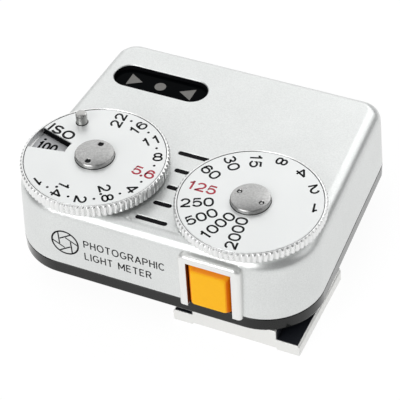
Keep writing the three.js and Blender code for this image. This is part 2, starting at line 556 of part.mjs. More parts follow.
// ---------------------------------------------------------------- light cell behind the front wall
const cellFront = BODY_DEPTH - 0.35;
const cellWindow = join(
  rod(CELL.x, CELL.z, CELL.radius - FIT, BODY_DEPTH - WALL - 0.2, cellFront - 0.25, 28),
  rod(CELL.x, CELL.z, CELL.radius - 0.5, BODY_DEPTH - WALL, cellFront, 28));
add("cell_window", cellWindow, CELL_GLASS);
add("cell_baffle", cut(rod(CELL.x, CELL.z, CELL.radius - 0.1, 32.52, 35.98, 24),
  rod(CELL.x, CELL.z, CELL.radius - 0.8, 30, 37, 24)), BLACK_PLASTIC);
add("light_cell", box(CELL.x - 2, CELL.x + 2, 30.9, 32.5, CELL.z - 2, CELL.z + 2), BLACK_PLASTIC);
add("cell_board", box(CELL.x - 4, CELL.x + 4, 29.9, 30.88, PLATE_TOP + 0.02, CEILING - 0.1), BOARD_GREEN);

// ---------------------------------------------------------------- battery compartment
add("battery_holder", ring(BATTERY.x, BATTERY.y, BATTERY.radius + 0.15, BATTERY.radius + 1.0,
  PLATE_TOP + 0.02, 10.9, 32), BLACK_PLASTIC);
["lower", "upper"].forEach((name, i) => {
  const z0 = BATTERY.bottom + i * (BATTERY.height + 0.03);
  const rimTop = z0 + BATTERY.height - 0.25;
  const cell = turned(BATTERY.x, BATTERY.y, [[0, z0], [BATTERY.radius - 0.3, z0], [BATTERY.radius, z0 + 0.3],
    [BATTERY.radius, rimTop], [BATTERY.radius - 0.9, rimTop], [BATTERY.radius - 1.1, z0 + BATTERY.height],
    [0, z0 + BATTERY.height]], 32);
  add(`battery_${name}`, cell, BRIGHT_STEEL);
});
add("battery_contact_upper", join(
  disc(BATTERY.x, BATTERY.y, 4.4, CEILING + 0.27, CEILING + 0.42, 20),
  box(BATTERY.x, 24.9, BATTERY.y - 1, BATTERY.y + 1, CEILING + 0.27, CEILING + 0.42),
  box(24.7, 24.9, BATTERY.y - 1, BATTERY.y + 1, BOARD.top + 0.02, CEILING + 0.42)), BRASS);
add("battery_contact_lower", join(
  ring(BATTERY.x, BATTERY.y, BATTERY.radius + 1.1, BATTERY.radius + 1.6, PLATE_TOP, PLATE_TOP + 0.25, 20),
  box(BATTERY.x + BATTERY.radius + 1.15, BATTERY.x + BATTERY.radius + 1.5, BATTERY.y - 1, BATTERY.y + 1,
    PLATE_TOP + 0.1, BOARD.bottom - 0.05)), BRASS);

const coinSlot = { length: 10.5, width: 1.5, depth: 0.75 };
add("battery_cap", cut(
  turned(BATTERY.x, BATTERY.y, [[0, CAP.bottom], [CAP.radius - 0.25, CAP.bottom], [CAP.radius, CAP.bottom + 0.25],
    [CAP.radius, CAP.top], [0, CAP.top]], 40),
  box(BATTERY.x - coinSlot.length / 2, BATTERY.x + coinSlot.length / 2, BATTERY.y - coinSlot.width / 2,
    BATTERY.y + coinSlot.width / 2, CAP.bottom - 1, CAP.bottom + coinSlot.depth)), DARK_GREY);
add("battery_cap_seal", ring(BATTERY.x, BATTERY.y, 5.5, 6.3, CAP.top + 0.01, CAP.top + 0.26, 32), RUBBER);
add("battery_cap_contact", turned(BATTERY.x, BATTERY.y, [[0, CAP.top + 0.01], [3.6, CAP.top + 0.01],
  [3.6, CAP.top + 0.12], [1.5, CAP.top + 0.3], [0, CAP.top + 0.3]], 24), SPRING_STEEL);

// ---------------------------------------------------------------- origin at the foot's underside
group.position.set(
  -(FOOT.left + FOOT.width / 2), -(FOOT.rear + FOOT.length / 2), -(FOOT.underside + FOOT.channel));

export default group;
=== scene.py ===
"""Looks for the clip-on light meter. Lengths are in millimetres, and become metres as a mesh is made."""
import json
from math import acos, asin, atan2, copysign, cos, hypot, pi, radians, sin

import bmesh
import bpy
from mathutils import Matrix, Vector


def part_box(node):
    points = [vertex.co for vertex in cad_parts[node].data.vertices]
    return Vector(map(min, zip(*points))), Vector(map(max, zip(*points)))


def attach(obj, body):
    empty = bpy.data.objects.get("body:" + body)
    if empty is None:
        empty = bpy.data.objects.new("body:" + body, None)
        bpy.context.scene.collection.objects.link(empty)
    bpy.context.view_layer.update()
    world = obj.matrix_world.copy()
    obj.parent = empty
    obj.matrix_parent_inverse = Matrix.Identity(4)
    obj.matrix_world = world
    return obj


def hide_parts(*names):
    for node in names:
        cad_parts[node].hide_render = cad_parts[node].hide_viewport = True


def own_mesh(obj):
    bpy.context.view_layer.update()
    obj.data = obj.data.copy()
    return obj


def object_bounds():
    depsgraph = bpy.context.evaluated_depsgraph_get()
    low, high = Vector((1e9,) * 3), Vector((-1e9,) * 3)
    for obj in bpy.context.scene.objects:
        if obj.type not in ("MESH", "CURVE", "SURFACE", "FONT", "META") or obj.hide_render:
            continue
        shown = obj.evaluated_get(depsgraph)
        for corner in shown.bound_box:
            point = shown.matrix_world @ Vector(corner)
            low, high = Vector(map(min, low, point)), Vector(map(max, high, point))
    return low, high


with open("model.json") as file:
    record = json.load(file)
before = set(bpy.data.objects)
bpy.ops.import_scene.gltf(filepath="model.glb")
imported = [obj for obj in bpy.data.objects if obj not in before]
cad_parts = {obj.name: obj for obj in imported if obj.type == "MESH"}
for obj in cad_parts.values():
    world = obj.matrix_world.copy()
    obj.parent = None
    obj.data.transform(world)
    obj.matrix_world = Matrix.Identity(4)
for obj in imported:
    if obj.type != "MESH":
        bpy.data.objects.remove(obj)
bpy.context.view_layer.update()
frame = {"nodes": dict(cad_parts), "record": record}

TAU = 2 * pi
MM = 0.001

# ---- where things are, from the CAD
def node_box(name):
    """A CAD node's lowest and highest corners, in millimetres."""
    low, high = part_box(name)
    return low / MM, high / MM


plate_low, plate_high = node_box("base_plate")
foot_low, foot_high = node_box("accessory_foot")
FOOT_LEFT = 24.6  # the foot's left side, from the layout's origin
# The layout's origin: on the plane of the base plate's underside and of the body's rear face.
ORIGIN = Vector((foot_low.x - FOOT_LEFT, plate_low.y, foot_high.z))
DEPTH = plate_high.y - plate_low.y
TOP = node_box("top_cover")[1].z - ORIGIN.z
PLATE_TOP = 2.1
# Plan corners as (x, y, radius), anticlockwise. The sides run in by 3 degrees towards the front.
BODY_CORNERS = [(35.56, 8.2, 8.2), (39.25, 34.2, 3.2), (3.63, 34.2, 3.2), (7.39, 8.2, 8.2)]
EDGE_ROUND = 1.9
WALL = 1.2
BODY_MIDDLE = (21.4, 18.7)
# The cover's plan shrinks about its middle by this share for each millimetre of height.
DRAFT = 0.002


def local_box(name):
    """node_box, measured from the layout's origin."""
    low, high = node_box(name)
    return low - ORIGIN, high - ORIGIN


def centre_of(name):
    low, high = local_box(name)
    return (low + high) / 2


def middle_xy(name):
    """A CAD node's middle in plan."""
    low, high = local_box(name)
    return (low.x + high.x) / 2, (low.y + high.y) / 2


HUBS = {dial: centre_of(dial + "_spindle")[:2] for dial in ("aperture", "shutter")}


def face_top(dial):
    return local_box(dial + "_face_disc")[1].z


def polar(x, y, radius, degrees):
    """The point at this radius and bearing from (x, y)."""
    angle = radians(degrees)
    return x + radius * cos(angle), y + radius * sin(angle)


def circle(x, y, radius, sides):
    return [(x + radius * cos(TAU * k / sides), y + radius * sin(TAU * k / sides)) for k in range(sides)]


# ---- materials
def set_inputs(node, values):
    for key, value in values.items():
        node.inputs[key].default_value = value


def add_node(tree, kind, inputs=None, **settings):
    """A new node with these settings and input values."""
    node = tree.nodes.new("ShaderNode" + kind)
    for key, value in settings.items():
        setattr(node, key, value)
    set_inputs(node, inputs or {})
    return node


def map_range(tree, value, source, target=(0.0, 1.0)):
    """Takes a socket's value from one (low, high) range to another."""
    node = add_node(tree, "MapRange", {"From Min": source[0], "From Max": source[1],
                                       "To Min": target[0], "To Max": target[1]})
    tree.links.new(value, node.inputs["Value"])
    return node.outputs["Result"]


def mix_colors(tree, factor, a, b):
    """Blends from a to b. a is a colour or a socket, and b is a colour."""
    node = add_node(tree, "Mix", data_type="RGBA")
    if isinstance(a, tuple):
        node.inputs["A"].default_value = (*a, 1)
    else:
        tree.links.new(a, node.inputs["A"])
    node.inputs["B"].default_value = (*b, 1)
    tree.links.new(factor, node.inputs["Factor"])
    return node.outputs["Result"]


NOISE_RANGE = (0.3, 0.7)  # where most of a noise's values lie
BROAD_SIZE = 6.0  # millimetres, of the patches of duller and brighter surface


def material(name, color, roughness, metallic, grain, tint, specular=0.5, smudge=0.05, coat=0.0, coat_ior=1.5):
    """A procedural finish. grain is (size, height) of the surface relief in millimetres; tint is how far the
    colour wanders, and smudge how far the roughness does."""
    mat = bpy.data.materials.new(name)
    mat.use_nodes = True
    tree = mat.node_tree
    shader = tree.nodes["Principled BSDF"]
    set_inputs(shader, {"Metallic": metallic, "Specular IOR Level": specular, "Coat Weight": coat,
                        "Coat Roughness": 0.08, "Coat IOR": coat_ior})
    coords = add_node(tree, "TexCoord").outputs["Object"]

    def noise(size, detail):
        node = add_node(tree, "TexNoise", {"Scale": 1 / (size * MM), "Detail": detail})
        tree.links.new(coords, node.inputs["Vector"])
        return node.outputs["Fac"]

    fine = noise(grain[0], 2.0)
    broad = noise(BROAD_SIZE, 3.0)
    both = add_node(tree, "Math", operation="ADD", use_clamp=True)
    tree.links.new(map_range(tree, fine, NOISE_RANGE, (0.0, 0.7)), both.inputs[0])
    tree.links.new(map_range(tree, broad, NOISE_RANGE, (0.0, 0.3)), both.inputs[1])
    dark = tuple(c * (1 - tint) for c in color)
    light = tuple(min(1.0, c * (1 + tint)) for c in color)
    tree.links.new(mix_colors(tree, both.outputs["Value"], dark, light), shader.inputs["Base Color"])
    gloss = (max(0.02, roughness - smudge), roughness + smudge)
    tree.links.new(map_range(tree, broad, NOISE_RANGE, gloss), shader.inputs["Roughness"])
    bump = add_node(tree, "Bump", {"Strength": 1.0, "Distance": grain[1] * MM})
    tree.links.new(fine, bump.inputs["Height"])
    tree.links.new(bump.outputs["Normal"], shader.inputs["Normal"])
    return mat


SATIN_COVER = material("satin_cover", (0.715, 0.73, 0.722), 0.36, 0.75, (0.17, 0.012), 0.08, smudge=0.012)
SURROUND_WHITE = material("surround_satin", (0.83, 0.835, 0.82), 0.34, 0.6, (0.12, 0.003), 0.015, smudge=0.02)
DIAL_RIM = material("dial_rim", (0.85, 0.855, 0.85), 0.3, 0.8, (0.15, 0.002), 0.02)
DIAL_FACE = material("dial_face", (0.87, 0.885, 0.88), 0.42, 0.5, (0.08, 0.004), 0.012)
ISO_FLOOR = material("iso_floor", (0.64, 0.645, 0.66), 0.5, 0.2, (0.08, 0.003), 0.02)
NUT_STEEL = material("nut_steel", (0.41, 0.41, 0.405), 0.3, 0.9, (0.26, 0.012), 0.2)
PIN_STEEL = material("pin_steel", (0.42, 0.42, 0.41), 0.24, 1.0, (0.3, 0.001), 0.03)
PLAIN_STEEL = material("plain_steel", (0.5, 0.5, 0.49), 0.3, 1.0, (0.2, 0.003), 0.05)
SPRING_STEEL = material("spring_steel", (0.42, 0.43, 0.44), 0.3, 1.0, (0.2, 0.002), 0.05)
FOOT_SILVER = material("foot_silver", (0.82, 0.82, 0.80), 0.42, 0.55, (0.12, 0.004), 0.02)
BASE_GREY = material("base_grey", (0.010, 0.0105, 0.010), 0.22, 0.0, (0.25, 0.002), 0.12, specular=0.1, coat=1.0,
                     coat_ior=1.22)
BLACKENED = material("blackened_steel", (0.012, 0.014, 0.02), 0.45, 0.3, (0.18, 0.02), 0.3)
ORANGE = material("orange_key", (1.0, 0.50, 0.016), 0.3, 0.0, (0.6, 0.0015), 0.02, specular=0.06)
# Painted shade, with a painted orange glow bounced from the key, for the gap round the key.
KEY_GAP_SHADE = material("key_gap_shade_glow", (0.12, 0.036, 0.007), 0.5, 0.0, (0.3, 0.002), 0.05, specular=0.1)
SMOKED_GLASS = material("smoked_window", (0.0015, 0.002, 0.0025), 0.06, 0.0, (2.0, 0.0005), 0.2, specular=0.01)
DIFFUSER = material("diffuser", (0.17, 0.165, 0.155), 0.4, 0.0, (0.25, 0.003), 0.08)
CELL_WHITE = material("cell_window", (0.75, 0.78, 0.77), 0.3, 0.0, (0.2, 0.004), 0.02)
# Black for filled marks, and also for the painted shade in gaps, holes and windows.
BLACK_INK_AND_SHADE = material("black_ink_and_shade", (0.005, 0.005, 0.006), 0.5, 0.0, (0.15, 0.004), 0.2, specular=0.08)
INK_BLACK = material("ink_black", (0.010, 0.010, 0.011), 0.5, 0.0, (0.1, 0.003), 0.2, specular=0.12)
INK_RED = material("ink_red", (0.48, 0.018, 0.045), 0.5, 0.0, (0.1, 0.003), 0.08)

# Painted shade: the deeper orange that the key's sloping sides take.
SLOPE_SHADE_ORANGE = (1.0, 0.20, 0.001)
# The normal's Y where the painted shade on a sloping side starts to deepen the colour, and where it is deepest.
SLOPE_SHADE_RANGE = (-0.97, -0.55)


def paint_slope_shade(mat, color):
    """Paints shade into the key's colour: a deeper orange where its sides slope away from the rear."""
    tree = mat.node_tree
    shader = tree.nodes["Principled BSDF"]
    face = shader.inputs["Base Color"].links[0].from_socket
    split = add_node(tree, "SeparateXYZ")
    tree.links.new(add_node(tree, "NewGeometry").outputs["Normal"], split.inputs["Vector"])
    slope = map_range(tree, split.outputs["Y"], SLOPE_SHADE_RANGE)
    tree.links.new(mix_colors(tree, slope, face, color), shader.inputs["Base Color"])


paint_slope_shade(ORANGE, SLOPE_SHADE_ORANGE)

SLOT_FINISH = {
    "cover": SATIN_COVER, "base": BASE_GREY, "foot": FOOT_SILVER, "blackened_steel": BLACKENED,
    "plain_steel": PLAIN_STEEL, "dial_ring": DIAL_RIM, "dial_face": DIAL_FACE, "spring_steel": SPRING_STEEL,
    "button": ORANGE, "smoked_window": SMOKED_GLASS, "diffuser": DIFFUSER, "cell_window": CELL_WHITE,
    "brass": material("brass", (0.62, 0.44, 0.16), 0.3, 1.0, (0.2, 0.002), 0.06),
    "black_plastic": material("black_plastic", (0.012, 0.012, 0.012), 0.5, 0.0, (0.15, 0.006), 0.2),
    "lamp": material("lamp_red", (0.55, 0.05, 0.03), 0.25, 0.0, (0.3, 0.001), 0.05),
    "circuit_board": material("circuit_board", (0.012, 0.10, 0.035), 0.4, 0.0, (0.5, 0.004), 0.15),
    "seal": material("seal_rubber", (0.012, 0.012, 0.012), 0.7, 0.0, (0.1, 0.006), 0.2),
}


# ---- mesh helpers
def place(points):
    """Local millimetres to metres in the row's frame."""
    return [(ORIGIN + Vector(p)) * MM for p in points]


def add_object(name, data):
    obj = bpy.data.objects.new(name, data)
    bpy.context.scene.collection.objects.link(obj)
    return obj


def new_object(name, verts, faces):
    mesh = bpy.data.meshes.new(name)
    mesh.from_pydata(place(verts), [], faces)
    mesh.validate()
    work = bmesh.new()
    work.from_mesh(mesh)
    bmesh.ops.recalc_face_normals(work, faces=work.faces)
    work.to_mesh(mesh)
    work.free()
    return add_object(name, mesh)


def bake_modifiers(obj):
    """Turns the object's modifiers into plain mesh."""
    graph = bpy.context.evaluated_depsgraph_get()
    mesh = bpy.data.meshes.new_from_object(obj.evaluated_get(graph))
    obj.modifiers.clear()
    old = obj.data
    obj.data = mesh
    mesh.name = old.name
    bpy.data.meshes.remove(old)


def modify(obj, kind, **settings):
    modifier = obj.modifiers.new(kind.lower(), kind)
    for key, value in settings.items():
        setattr(modifier, key, value)


def boolean(obj, tools, operation="DIFFERENCE"):
    """Cuts the tools from obj, or joins them to it, and removes them."""
    for tool in tools:
        modify(obj, "BOOLEAN", operation=operation, solver="EXACT", object=tool)
    bake_modifiers(obj)
    for tool in tools:
        bpy.data.objects.remove(tool)


def smooth(obj, angle):
    """Smooth shading with crisp edges, and flat faces that stay flat."""
    obj.data.shade_smooth()
    obj.data.set_sharp_from_angle(angle=radians(angle))
    modify(obj, "WEIGHTED_NORMAL", keep_sharp=True, weight=100)
    bake_modifiers(obj)


def piece(obj, body, finish=BLACK_INK_AND_SHADE, replaces=(), angle=32):
    """Finishes a detailed piece: shading, material, the body it rides on and the CAD nodes it stands for."""
    smooth(obj, angle)
    obj.data.materials.clear()
    obj.data.materials.append(finish)
    for polygon in obj.data.polygons:
        polygon.material_index = 0
    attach(obj, body)
    if replaces:
        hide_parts(*replaces)


def loft(name, loops, closed=False, caps=True):
    """Skins equal-length loops of points. closed joins the last loop to the first."""
    count = len(loops[0])
    verts = [p for loop in loops for p in loop]
    faces = []
    spans = len(loops) if closed else len(loops) - 1
    for i in range(spans):
        a, b = i * count, ((i + 1) % len(loops)) * count
        for k in range(count):
            n = (k + 1) % count
            faces.append((a + k, a + n, b + n, b + k))
    if caps and not closed:
        faces.append(tuple(reversed(range(count))))
        faces.append(tuple(range((len(loops) - 1) * count, len(loops) * count)))
    return new_object(name, verts, faces)


def lathe(name, cx, cy, profile, sides=96, axis="Z", radius_at=None):
    """Turns a closed profile of (radius, height) about an upright axis, or one along Y.
    radius_at(angle, radius) may bend the radius, which makes knurling."""
    verts, rings = [], []
    for r, h in profile:
        steps = 1 if r == 0 else sides
        rings.append((len(verts), steps))
        for k in range(steps):
            angle = TAU * k / sides
            rr = radius_at(angle, r) if radius_at and r else r
            u, v = rr * cos(angle), rr * sin(angle)
            verts.append((cx + u, cy + v, h) if axis == "Z" else (cx + u, h, cy + v))
    faces = []
    for i, (a, na) in enumerate(rings):
        b, nb = rings[(i + 1) % len(rings)]
        if na == 1 and nb == 1:
            continue
        for k in range(sides):
            n = (k + 1) % sides
            corners = [a + (k if na > 1 else 0), b + (k if nb > 1 else 0),
                       b + (n if nb > 1 else 0), a + (n if na > 1 else 0)]
            unique = list(dict.fromkeys(corners))
            if len(unique) > 2:
                faces.append(tuple(unique))
    return new_object(name, verts, faces)


def rod(name, x, y, radius, z0, z1, sides):
    return lathe(name, x, y, [(0, z0), (radius, z0), (radius, z1), (0, z1)], sides)


def washer(name, x, y, inner, outer, z0, z1, sides=96):
    return lathe(name, x, y, [(inner, z0), (outer, z0), (outer, z1), (inner, z1)], sides)


def body_outline(inset, z, steps=18):
    """The body's plan outline at height z, pulled in by inset: four round corners joined by straight sides."""
    normals = []
    for i, (x, y, r) in enumerate(BODY_CORNERS):
        next_x, next_y, next_r = BODY_CORNERS[(i + 1) % 4]
        run = hypot(next_x - x, next_y - y)
        normals.append(atan2(next_y - y, next_x - x) - acos((r - next_r) / run))
    loop = []
    for i, (x, y, r) in enumerate(BODY_CORNERS):
        turn = (normals[i] - normals[i - 1]) % TAU
        for k in range(steps + 1):
            angle = normals[i - 1] + turn * k / steps
            loop.append((x + (r - inset) * cos(angle), y + (r - inset) * sin(angle), z))
    return loop


def drafted(loop):
    """Leans points inwards above the base plate, as the cover's draft does."""
    mx, my = BODY_MIDDLE
    shares = [1 - DRAFT * (z - PLATE_TOP) for x, y, z in loop]
    return [(mx + (x - mx) * share, my + (y - my) * share, z) for (x, y, z), share in zip(loop, shares)]


def stadium(cx, cy, length, width, z, grow=0.0, steps=20):
    """A level outline with straight sides and round ends, bigger by grow all round."""
    half, radius = (length - width) / 2, width / 2 + grow
    loop = []
    for side, start in ((1, -90), (-1, 90)):
        for k in range(steps + 1):
            loop.append((*polar(cx + side * half, cy, radius, start + 180 * k / steps), z))
    return loop


def prism(name, points, z0, z1):
    return loft(name, [[(x, y, z0) for x, y in points], [(x, y, z1) for x, y in points]])


def block(name, x0, x1, y0, y1, z0, z1):
    return prism(name, [(x0, y0), (x1, y0), (x1, y1), (x0, y1)], z0, z1)


def bevelled(obj, width, segments):
    modify(obj, "BEVEL", width=width * MM, segments=segments, limit_method="ANGLE", angle_limit=radians(35))
    bake_modifiers(obj)


# ---- a stroke alphabet for dial figures
def arc(cx, cy, rx, ry, start, end, steps=14, power=2.0):
    """Points along an ellipse, or along a squarer curve where power is over 2."""
    points = []
    for k in range(steps + 1):
        angle = radians(start + (end - start) * k / steps)
        c, s = cos(angle), sin(angle)
        e = 2 / power
        points.append((cx + rx * copysign(abs(c) ** e, c), cy + ry * copysign(abs(s) ** e, s)))
    return points


def ellipse(cx, cy, rx, ry, power=2.3):
    return arc(cx, cy, rx, ry, 0, 360, 36, power)[:-1]


def line(*points):
    """An open stroke."""
    return (list(points), False)


# Each figure is its width and its strokes, in a box one unit high. True marks a closed stroke.
BELOW, ABOVE = -0.05, 1.05
BAR = 0.52
STEM = line((0, BELOW), (0, ABOVE))
P_BOWL = line((0, 1), (0.5, 1), *arc(0.5, 0.74, 0.36, 0.26, 75, -75, 8), (0.5, 0.48), (0, 0.48))
FIGURES = {
    "0": (1.0, [(ellipse(0.5, 0.5, 0.5, 0.5), True)]),
    "1": (0.9, [line((0.66, -0.09), (0.66, 1.09)), line((0.66, 0.98), (0.5, 0.83), (0.24, 0.76))]),
    "2": (1.0, [line(*arc(0.5, 0.70, 0.46, 0.30, 172, -20), (0.78, 0.42), (0.35, 0.22), (0.08, 0.06),
                     (0.0, -0.03)), line((-0.1, 0.0), (1.06, 0.0))]),
    "3": (0.98, [line(*arc(0.48, 0.755, 0.42, 0.245, 158, -90)), line(*arc(0.48, 0.262, 0.5, 0.262, 90, -162))]),
    "4": (1.05, [line((0.76, 1.04), (0.0, 0.27)), line((-0.08, 0.27), (1.12, 0.27)),
                 line((0.76, 1.08), (0.76, -0.08))]),
    "5": (1.0, [line((0.95, 1.0), (0.12, 1.0)),
                line((0.18, 1.0), (0.10, 0.5), *arc(0.49, 0.325, 0.5, 0.325, 140, -160))]),
    "6": (1.0, [(ellipse(0.5, 0.32, 0.5, 0.32, 2.1), True),
                line((0.0, 0.32), (0.01, 0.52), (0.07, 0.74), (0.2, 0.92), (0.4, 1.0), (0.62, 0.99), (0.8, 0.9),
                     (0.9, 0.76))]),
    "8": (1.0, [(ellipse(0.5, 0.755, 0.42, 0.245, 2.1), True), (ellipse(0.5, 0.262, 0.5, 0.262, 2.1), True)]),
    ".": (0.0, [(ellipse(0.0, 0.0, 0.05, 0.04, 2.0), True)]),
    " ": (0.35, []),
    "I": (0.0, [line((0, -0.07), (0, 1.07))]),
    "S": (0.95, [line(*arc(0.47, 0.745, 0.42, 0.255, 25, 270), *arc(0.47, 0.255, 0.47, 0.255, 85, -158))]),
    "O": (1.12, [(ellipse(0.56, 0.5, 0.56, 0.5, 2.2), True)]),
    "P": (0.86, [STEM, P_BOWL]),
    "R": (0.9, [STEM, P_BOWL, line((0.5, 0.48), (0.88, BELOW))]),
    "H": (0.86, [STEM, line((0.86, BELOW), (0.86, ABOVE)), line((0, BAR), (0.86, BAR))]),
    "T": (0.88, [line((-0.02, 1), (0.9, 1)), line((0.44, 1), (0.44, BELOW))]),
    "G": (1.05, [line(*arc(0.54, 0.5, 0.54, 0.5, 42, 352, 30)), line((0.62, 0.45), (1.09, 0.45))]),
    "A": (1.0, [line((-0.02, BELOW), (0.5, 1.03)), line((0.5, 1.03), (1.02, BELOW)),
                line((0.17, 0.33), (0.83, 0.33))]),
    "C": (1.0, [line(*arc(0.52, 0.5, 0.52, 0.5, 42, 318, 30))]),
    "L": (0.72, [line((0, ABOVE), (0, 0)), line((BELOW, 0), (0.74, 0))]),
    "M": (1.1, [STEM, line((1.1, BELOW), (1.1, ABOVE)), line((0, 1.0), (0.55, 0.22)),
                line((0.55, 0.22), (1.1, 1.0))]),
    "E": (0.78, [STEM, line((0, 1), (0.78, 1)), line((0, BAR), (0.72, BAR)), line((0, 0), (0.8, 0))]),
}


def ribbon(points, closed, thickness):
    """Left and right edges of a stroke of even thickness, mitred at its corners."""
    left, right = [], []
    count = len(points)
    for i, p in enumerate(points):
        before = points[i - 1] if (i or closed) else None
        after = points[(i + 1) % count] if (i < count - 1 or closed) else None
        normals = []
        for a, b in ((before, p), (p, after)):
            if a and b:
                d = Vector((b[0] - a[0], b[1] - a[1]))
                if d.length > 1e-9:
                    d.normalize()
                    normals.append(Vector((-d.y, d.x)))
        normal = sum(normals, Vector((0, 0)))
        normal.normalize()
        reach = thickness / 2 / max(0.5, normal.dot(normals[0]))
        left.append((p[0] + normal.x * reach, p[1] + normal.y * reach))
        right.append((p[0] - normal.x * reach, p[1] - normal.y * reach))
    return left, right


def text_width(text, size, gap):
    return sum(FIGURES[c][0] * size[0] + size[2] for c in text) + gap * (len(text) - 1)


def flat_at(z):
    """Lays a printed shape on the level plane at height z."""
    return lambda u, v, lift: (u, v, z + lift)


def plan_space(start, run, z):
    """Lays a line of figures on the level plane at height z, from start along the direction run."""
    up = Vector((-run.y, run.x))

    def to_space(u, v, lift):
        p = start + run * u + up * v
        return (p.x, p.y, z + lift)
    return to_space


class Print:
    """Thin printed or filled shapes that become one mesh, depth thick, which stands proud of its surface."""

    def __init__(self, depth=0.03, proud=0.006):
        self.verts, self.faces, self.depth, self.proud = [], [], depth, proud

    def stroke(self, points, closed, thickness, to_space):
        """to_space(u, v, lift) gives the point above the surface by lift."""
        edges = ribbon(points, closed, thickness)
        count, base = len(points), len(self.verts)
        for lift in (self.proud, self.proud - self.depth):
            for edge in edges:
                self.verts += [to_space(u, v, lift) for u, v in edge]
        lt, rt, lb, rb = (base + count * k for k in range(4))
        for i in range(count if closed else count - 1):
            n = (i + 1) % count
            self.faces += [(lt + i, lt + n, rt + n, rt + i), (lb + i, rb + i, rb + n, lb + n),
                           (lt + i, lb + i, lb + n, lt + n), (rt + i, rt + n, rb + n, rb + i)]
        if not closed:
            self.faces += [(lt, rt, rb, lb), (lt + count - 1, lb + count - 1, rb + count - 1, rt + count - 1)]

    def polygon(self, points, to_space):
        base, count = len(self.verts), len(points)
        for lift in (self.proud, self.proud - self.depth):
            self.verts += [to_space(u, v, lift) for u, v in points]
        self.faces.append(tuple(range(base, base + count)))
        self.faces.append(tuple(range(base + 2 * count - 1, base + count - 1, -1)))
        self.faces += [(base + i, base + (i + 1) % count, base + count + (i + 1) % count, base + count + i)
                       for i in range(count)]

    def text(self, text, size, gap, to_space):
        """A line of figures from u = 0 on its baseline. size is (width, height, stroke) on centre lines."""
        wide, high, thick = size
        x = 0.0
        for c in text:
            width, strokes = FIGURES[c]
            for points, closed in strokes:
                scaled = [(x + thick / 2 + px * wide, thick / 2 + py * high) for px, py in points]
                self.stroke(scaled, closed, thick, to_space)
            x += width * wide + thick + gap

    def make(self, name, body, slot="black_plastic", finish=INK_BLACK):
        piece(new_object(name, self.verts, self.faces), body, finish)


# ---- top cover
PANE_LIP = 0.4  # the indicator's pane reaches this far under the cover all round its opening
KEY_HOLE_HALF = 3.3
KEY_HOLE_TOP = 9.9
BEARING_HOLE = 2.65
CELL_HOLE = 3.0
INDEX_WIDTH = 0.76
# The index grooves as (middle, y, length).
INDEX_LINES = [(21.35, 16.62, 4.7), (21.35, 13.22, 2.7), (21.35, 9.82, 1.9), (21.35, 6.42, 2.7),
               (21.275, 3.07, 4.65)]
cover_front = local_box("top_cover")[0].y
key_x = middle_xy("measuring_button")[0]


def pane_opening():
    """The middle, length and width of the cover's opening for the indicator."""
    low, high = local_box("indicator_window")
    return (*middle_xy("indicator_window"), high.x - low.x - 2 * PANE_LIP, high.y - low.y - 2 * PANE_LIP)


def make_cover():
    turns = [radians(90 * k / 12) for k in range(13)]
    top_round = [(EDGE_ROUND - EDGE_ROUND * cos(a), TOP - EDGE_ROUND + EDGE_ROUND * sin(a)) for a in turns]
    sections = [(0.12, PLATE_TOP + 0.01), (0.0, PLATE_TOP + 0.13)] + top_round
    cover = loft("cover_shell", [drafted(body_outline(inset, z)) for inset, z in sections])
    opening = pane_opening()
    tools = [loft("cavity", [body_outline(WALL, PLATE_TOP - 1), body_outline(WALL, TOP - WALL)]),
             loft("window", [stadium(*opening, TOP - 2), stadium(*opening, TOP - 0.1),
                             stadium(*opening, TOP + 0.1, grow=0.2)]),
             block("button_hole", key_x - KEY_HOLE_HALF, key_x + KEY_HOLE_HALF, -1, WALL + 1, PLATE_TOP - 1,
                   KEY_HOLE_TOP)]
    tools += [rod("bearing_hole", *hub, BEARING_HOLE, TOP - 3, TOP + 1, 48) for hub in HUBS.values()]
    cell = centre_of("cell_window")
    tools.append(lathe("cell_hole", cell.x, cell.z, [
        (0, DEPTH - 3), (CELL_HOLE, DEPTH - 3), (CELL_HOLE, DEPTH - 0.1), (CELL_HOLE + 0.2, DEPTH + 0.1),
        (0, DEPTH + 0.1)], 64, axis="Y"))
    for groove in INDEX_LINES:
        tools.append(loft("index_groove", [stadium(*groove, INDEX_WIDTH, TOP + rise, grow, 8)
                                           for rise, grow in ((-0.16, 0), (-0.04, 0), (0.04, 0.08))]))
    boolean(cover, tools)
    piece(cover, "housing", SATIN_COVER, ["top_cover"])


make_cover()

index_paint = Print(depth=0.12, proud=-0.03)
for x, y, length in INDEX_LINES:
    groove = stadium(x, y, length - 0.01, INDEX_WIDTH - 0.01, 0, steps=8)
    index_paint.polygon([p[:2] for p in groove], flat_at(TOP))
index_paint.make("index_paint", "housing", "black_plastic", BLACK_INK_AND_SHADE)

# The inverted U round the key.
HOOP_INNER, HOOP_OUTER = 3.25, 4.55  # half widths
HOOP_LOW, HOOP_TOP = PLATE_TOP - 0.2, 11.1
HOOP_CORNER = 1.1
HOOP_BEVEL = 0.6
NEAR = 0.01


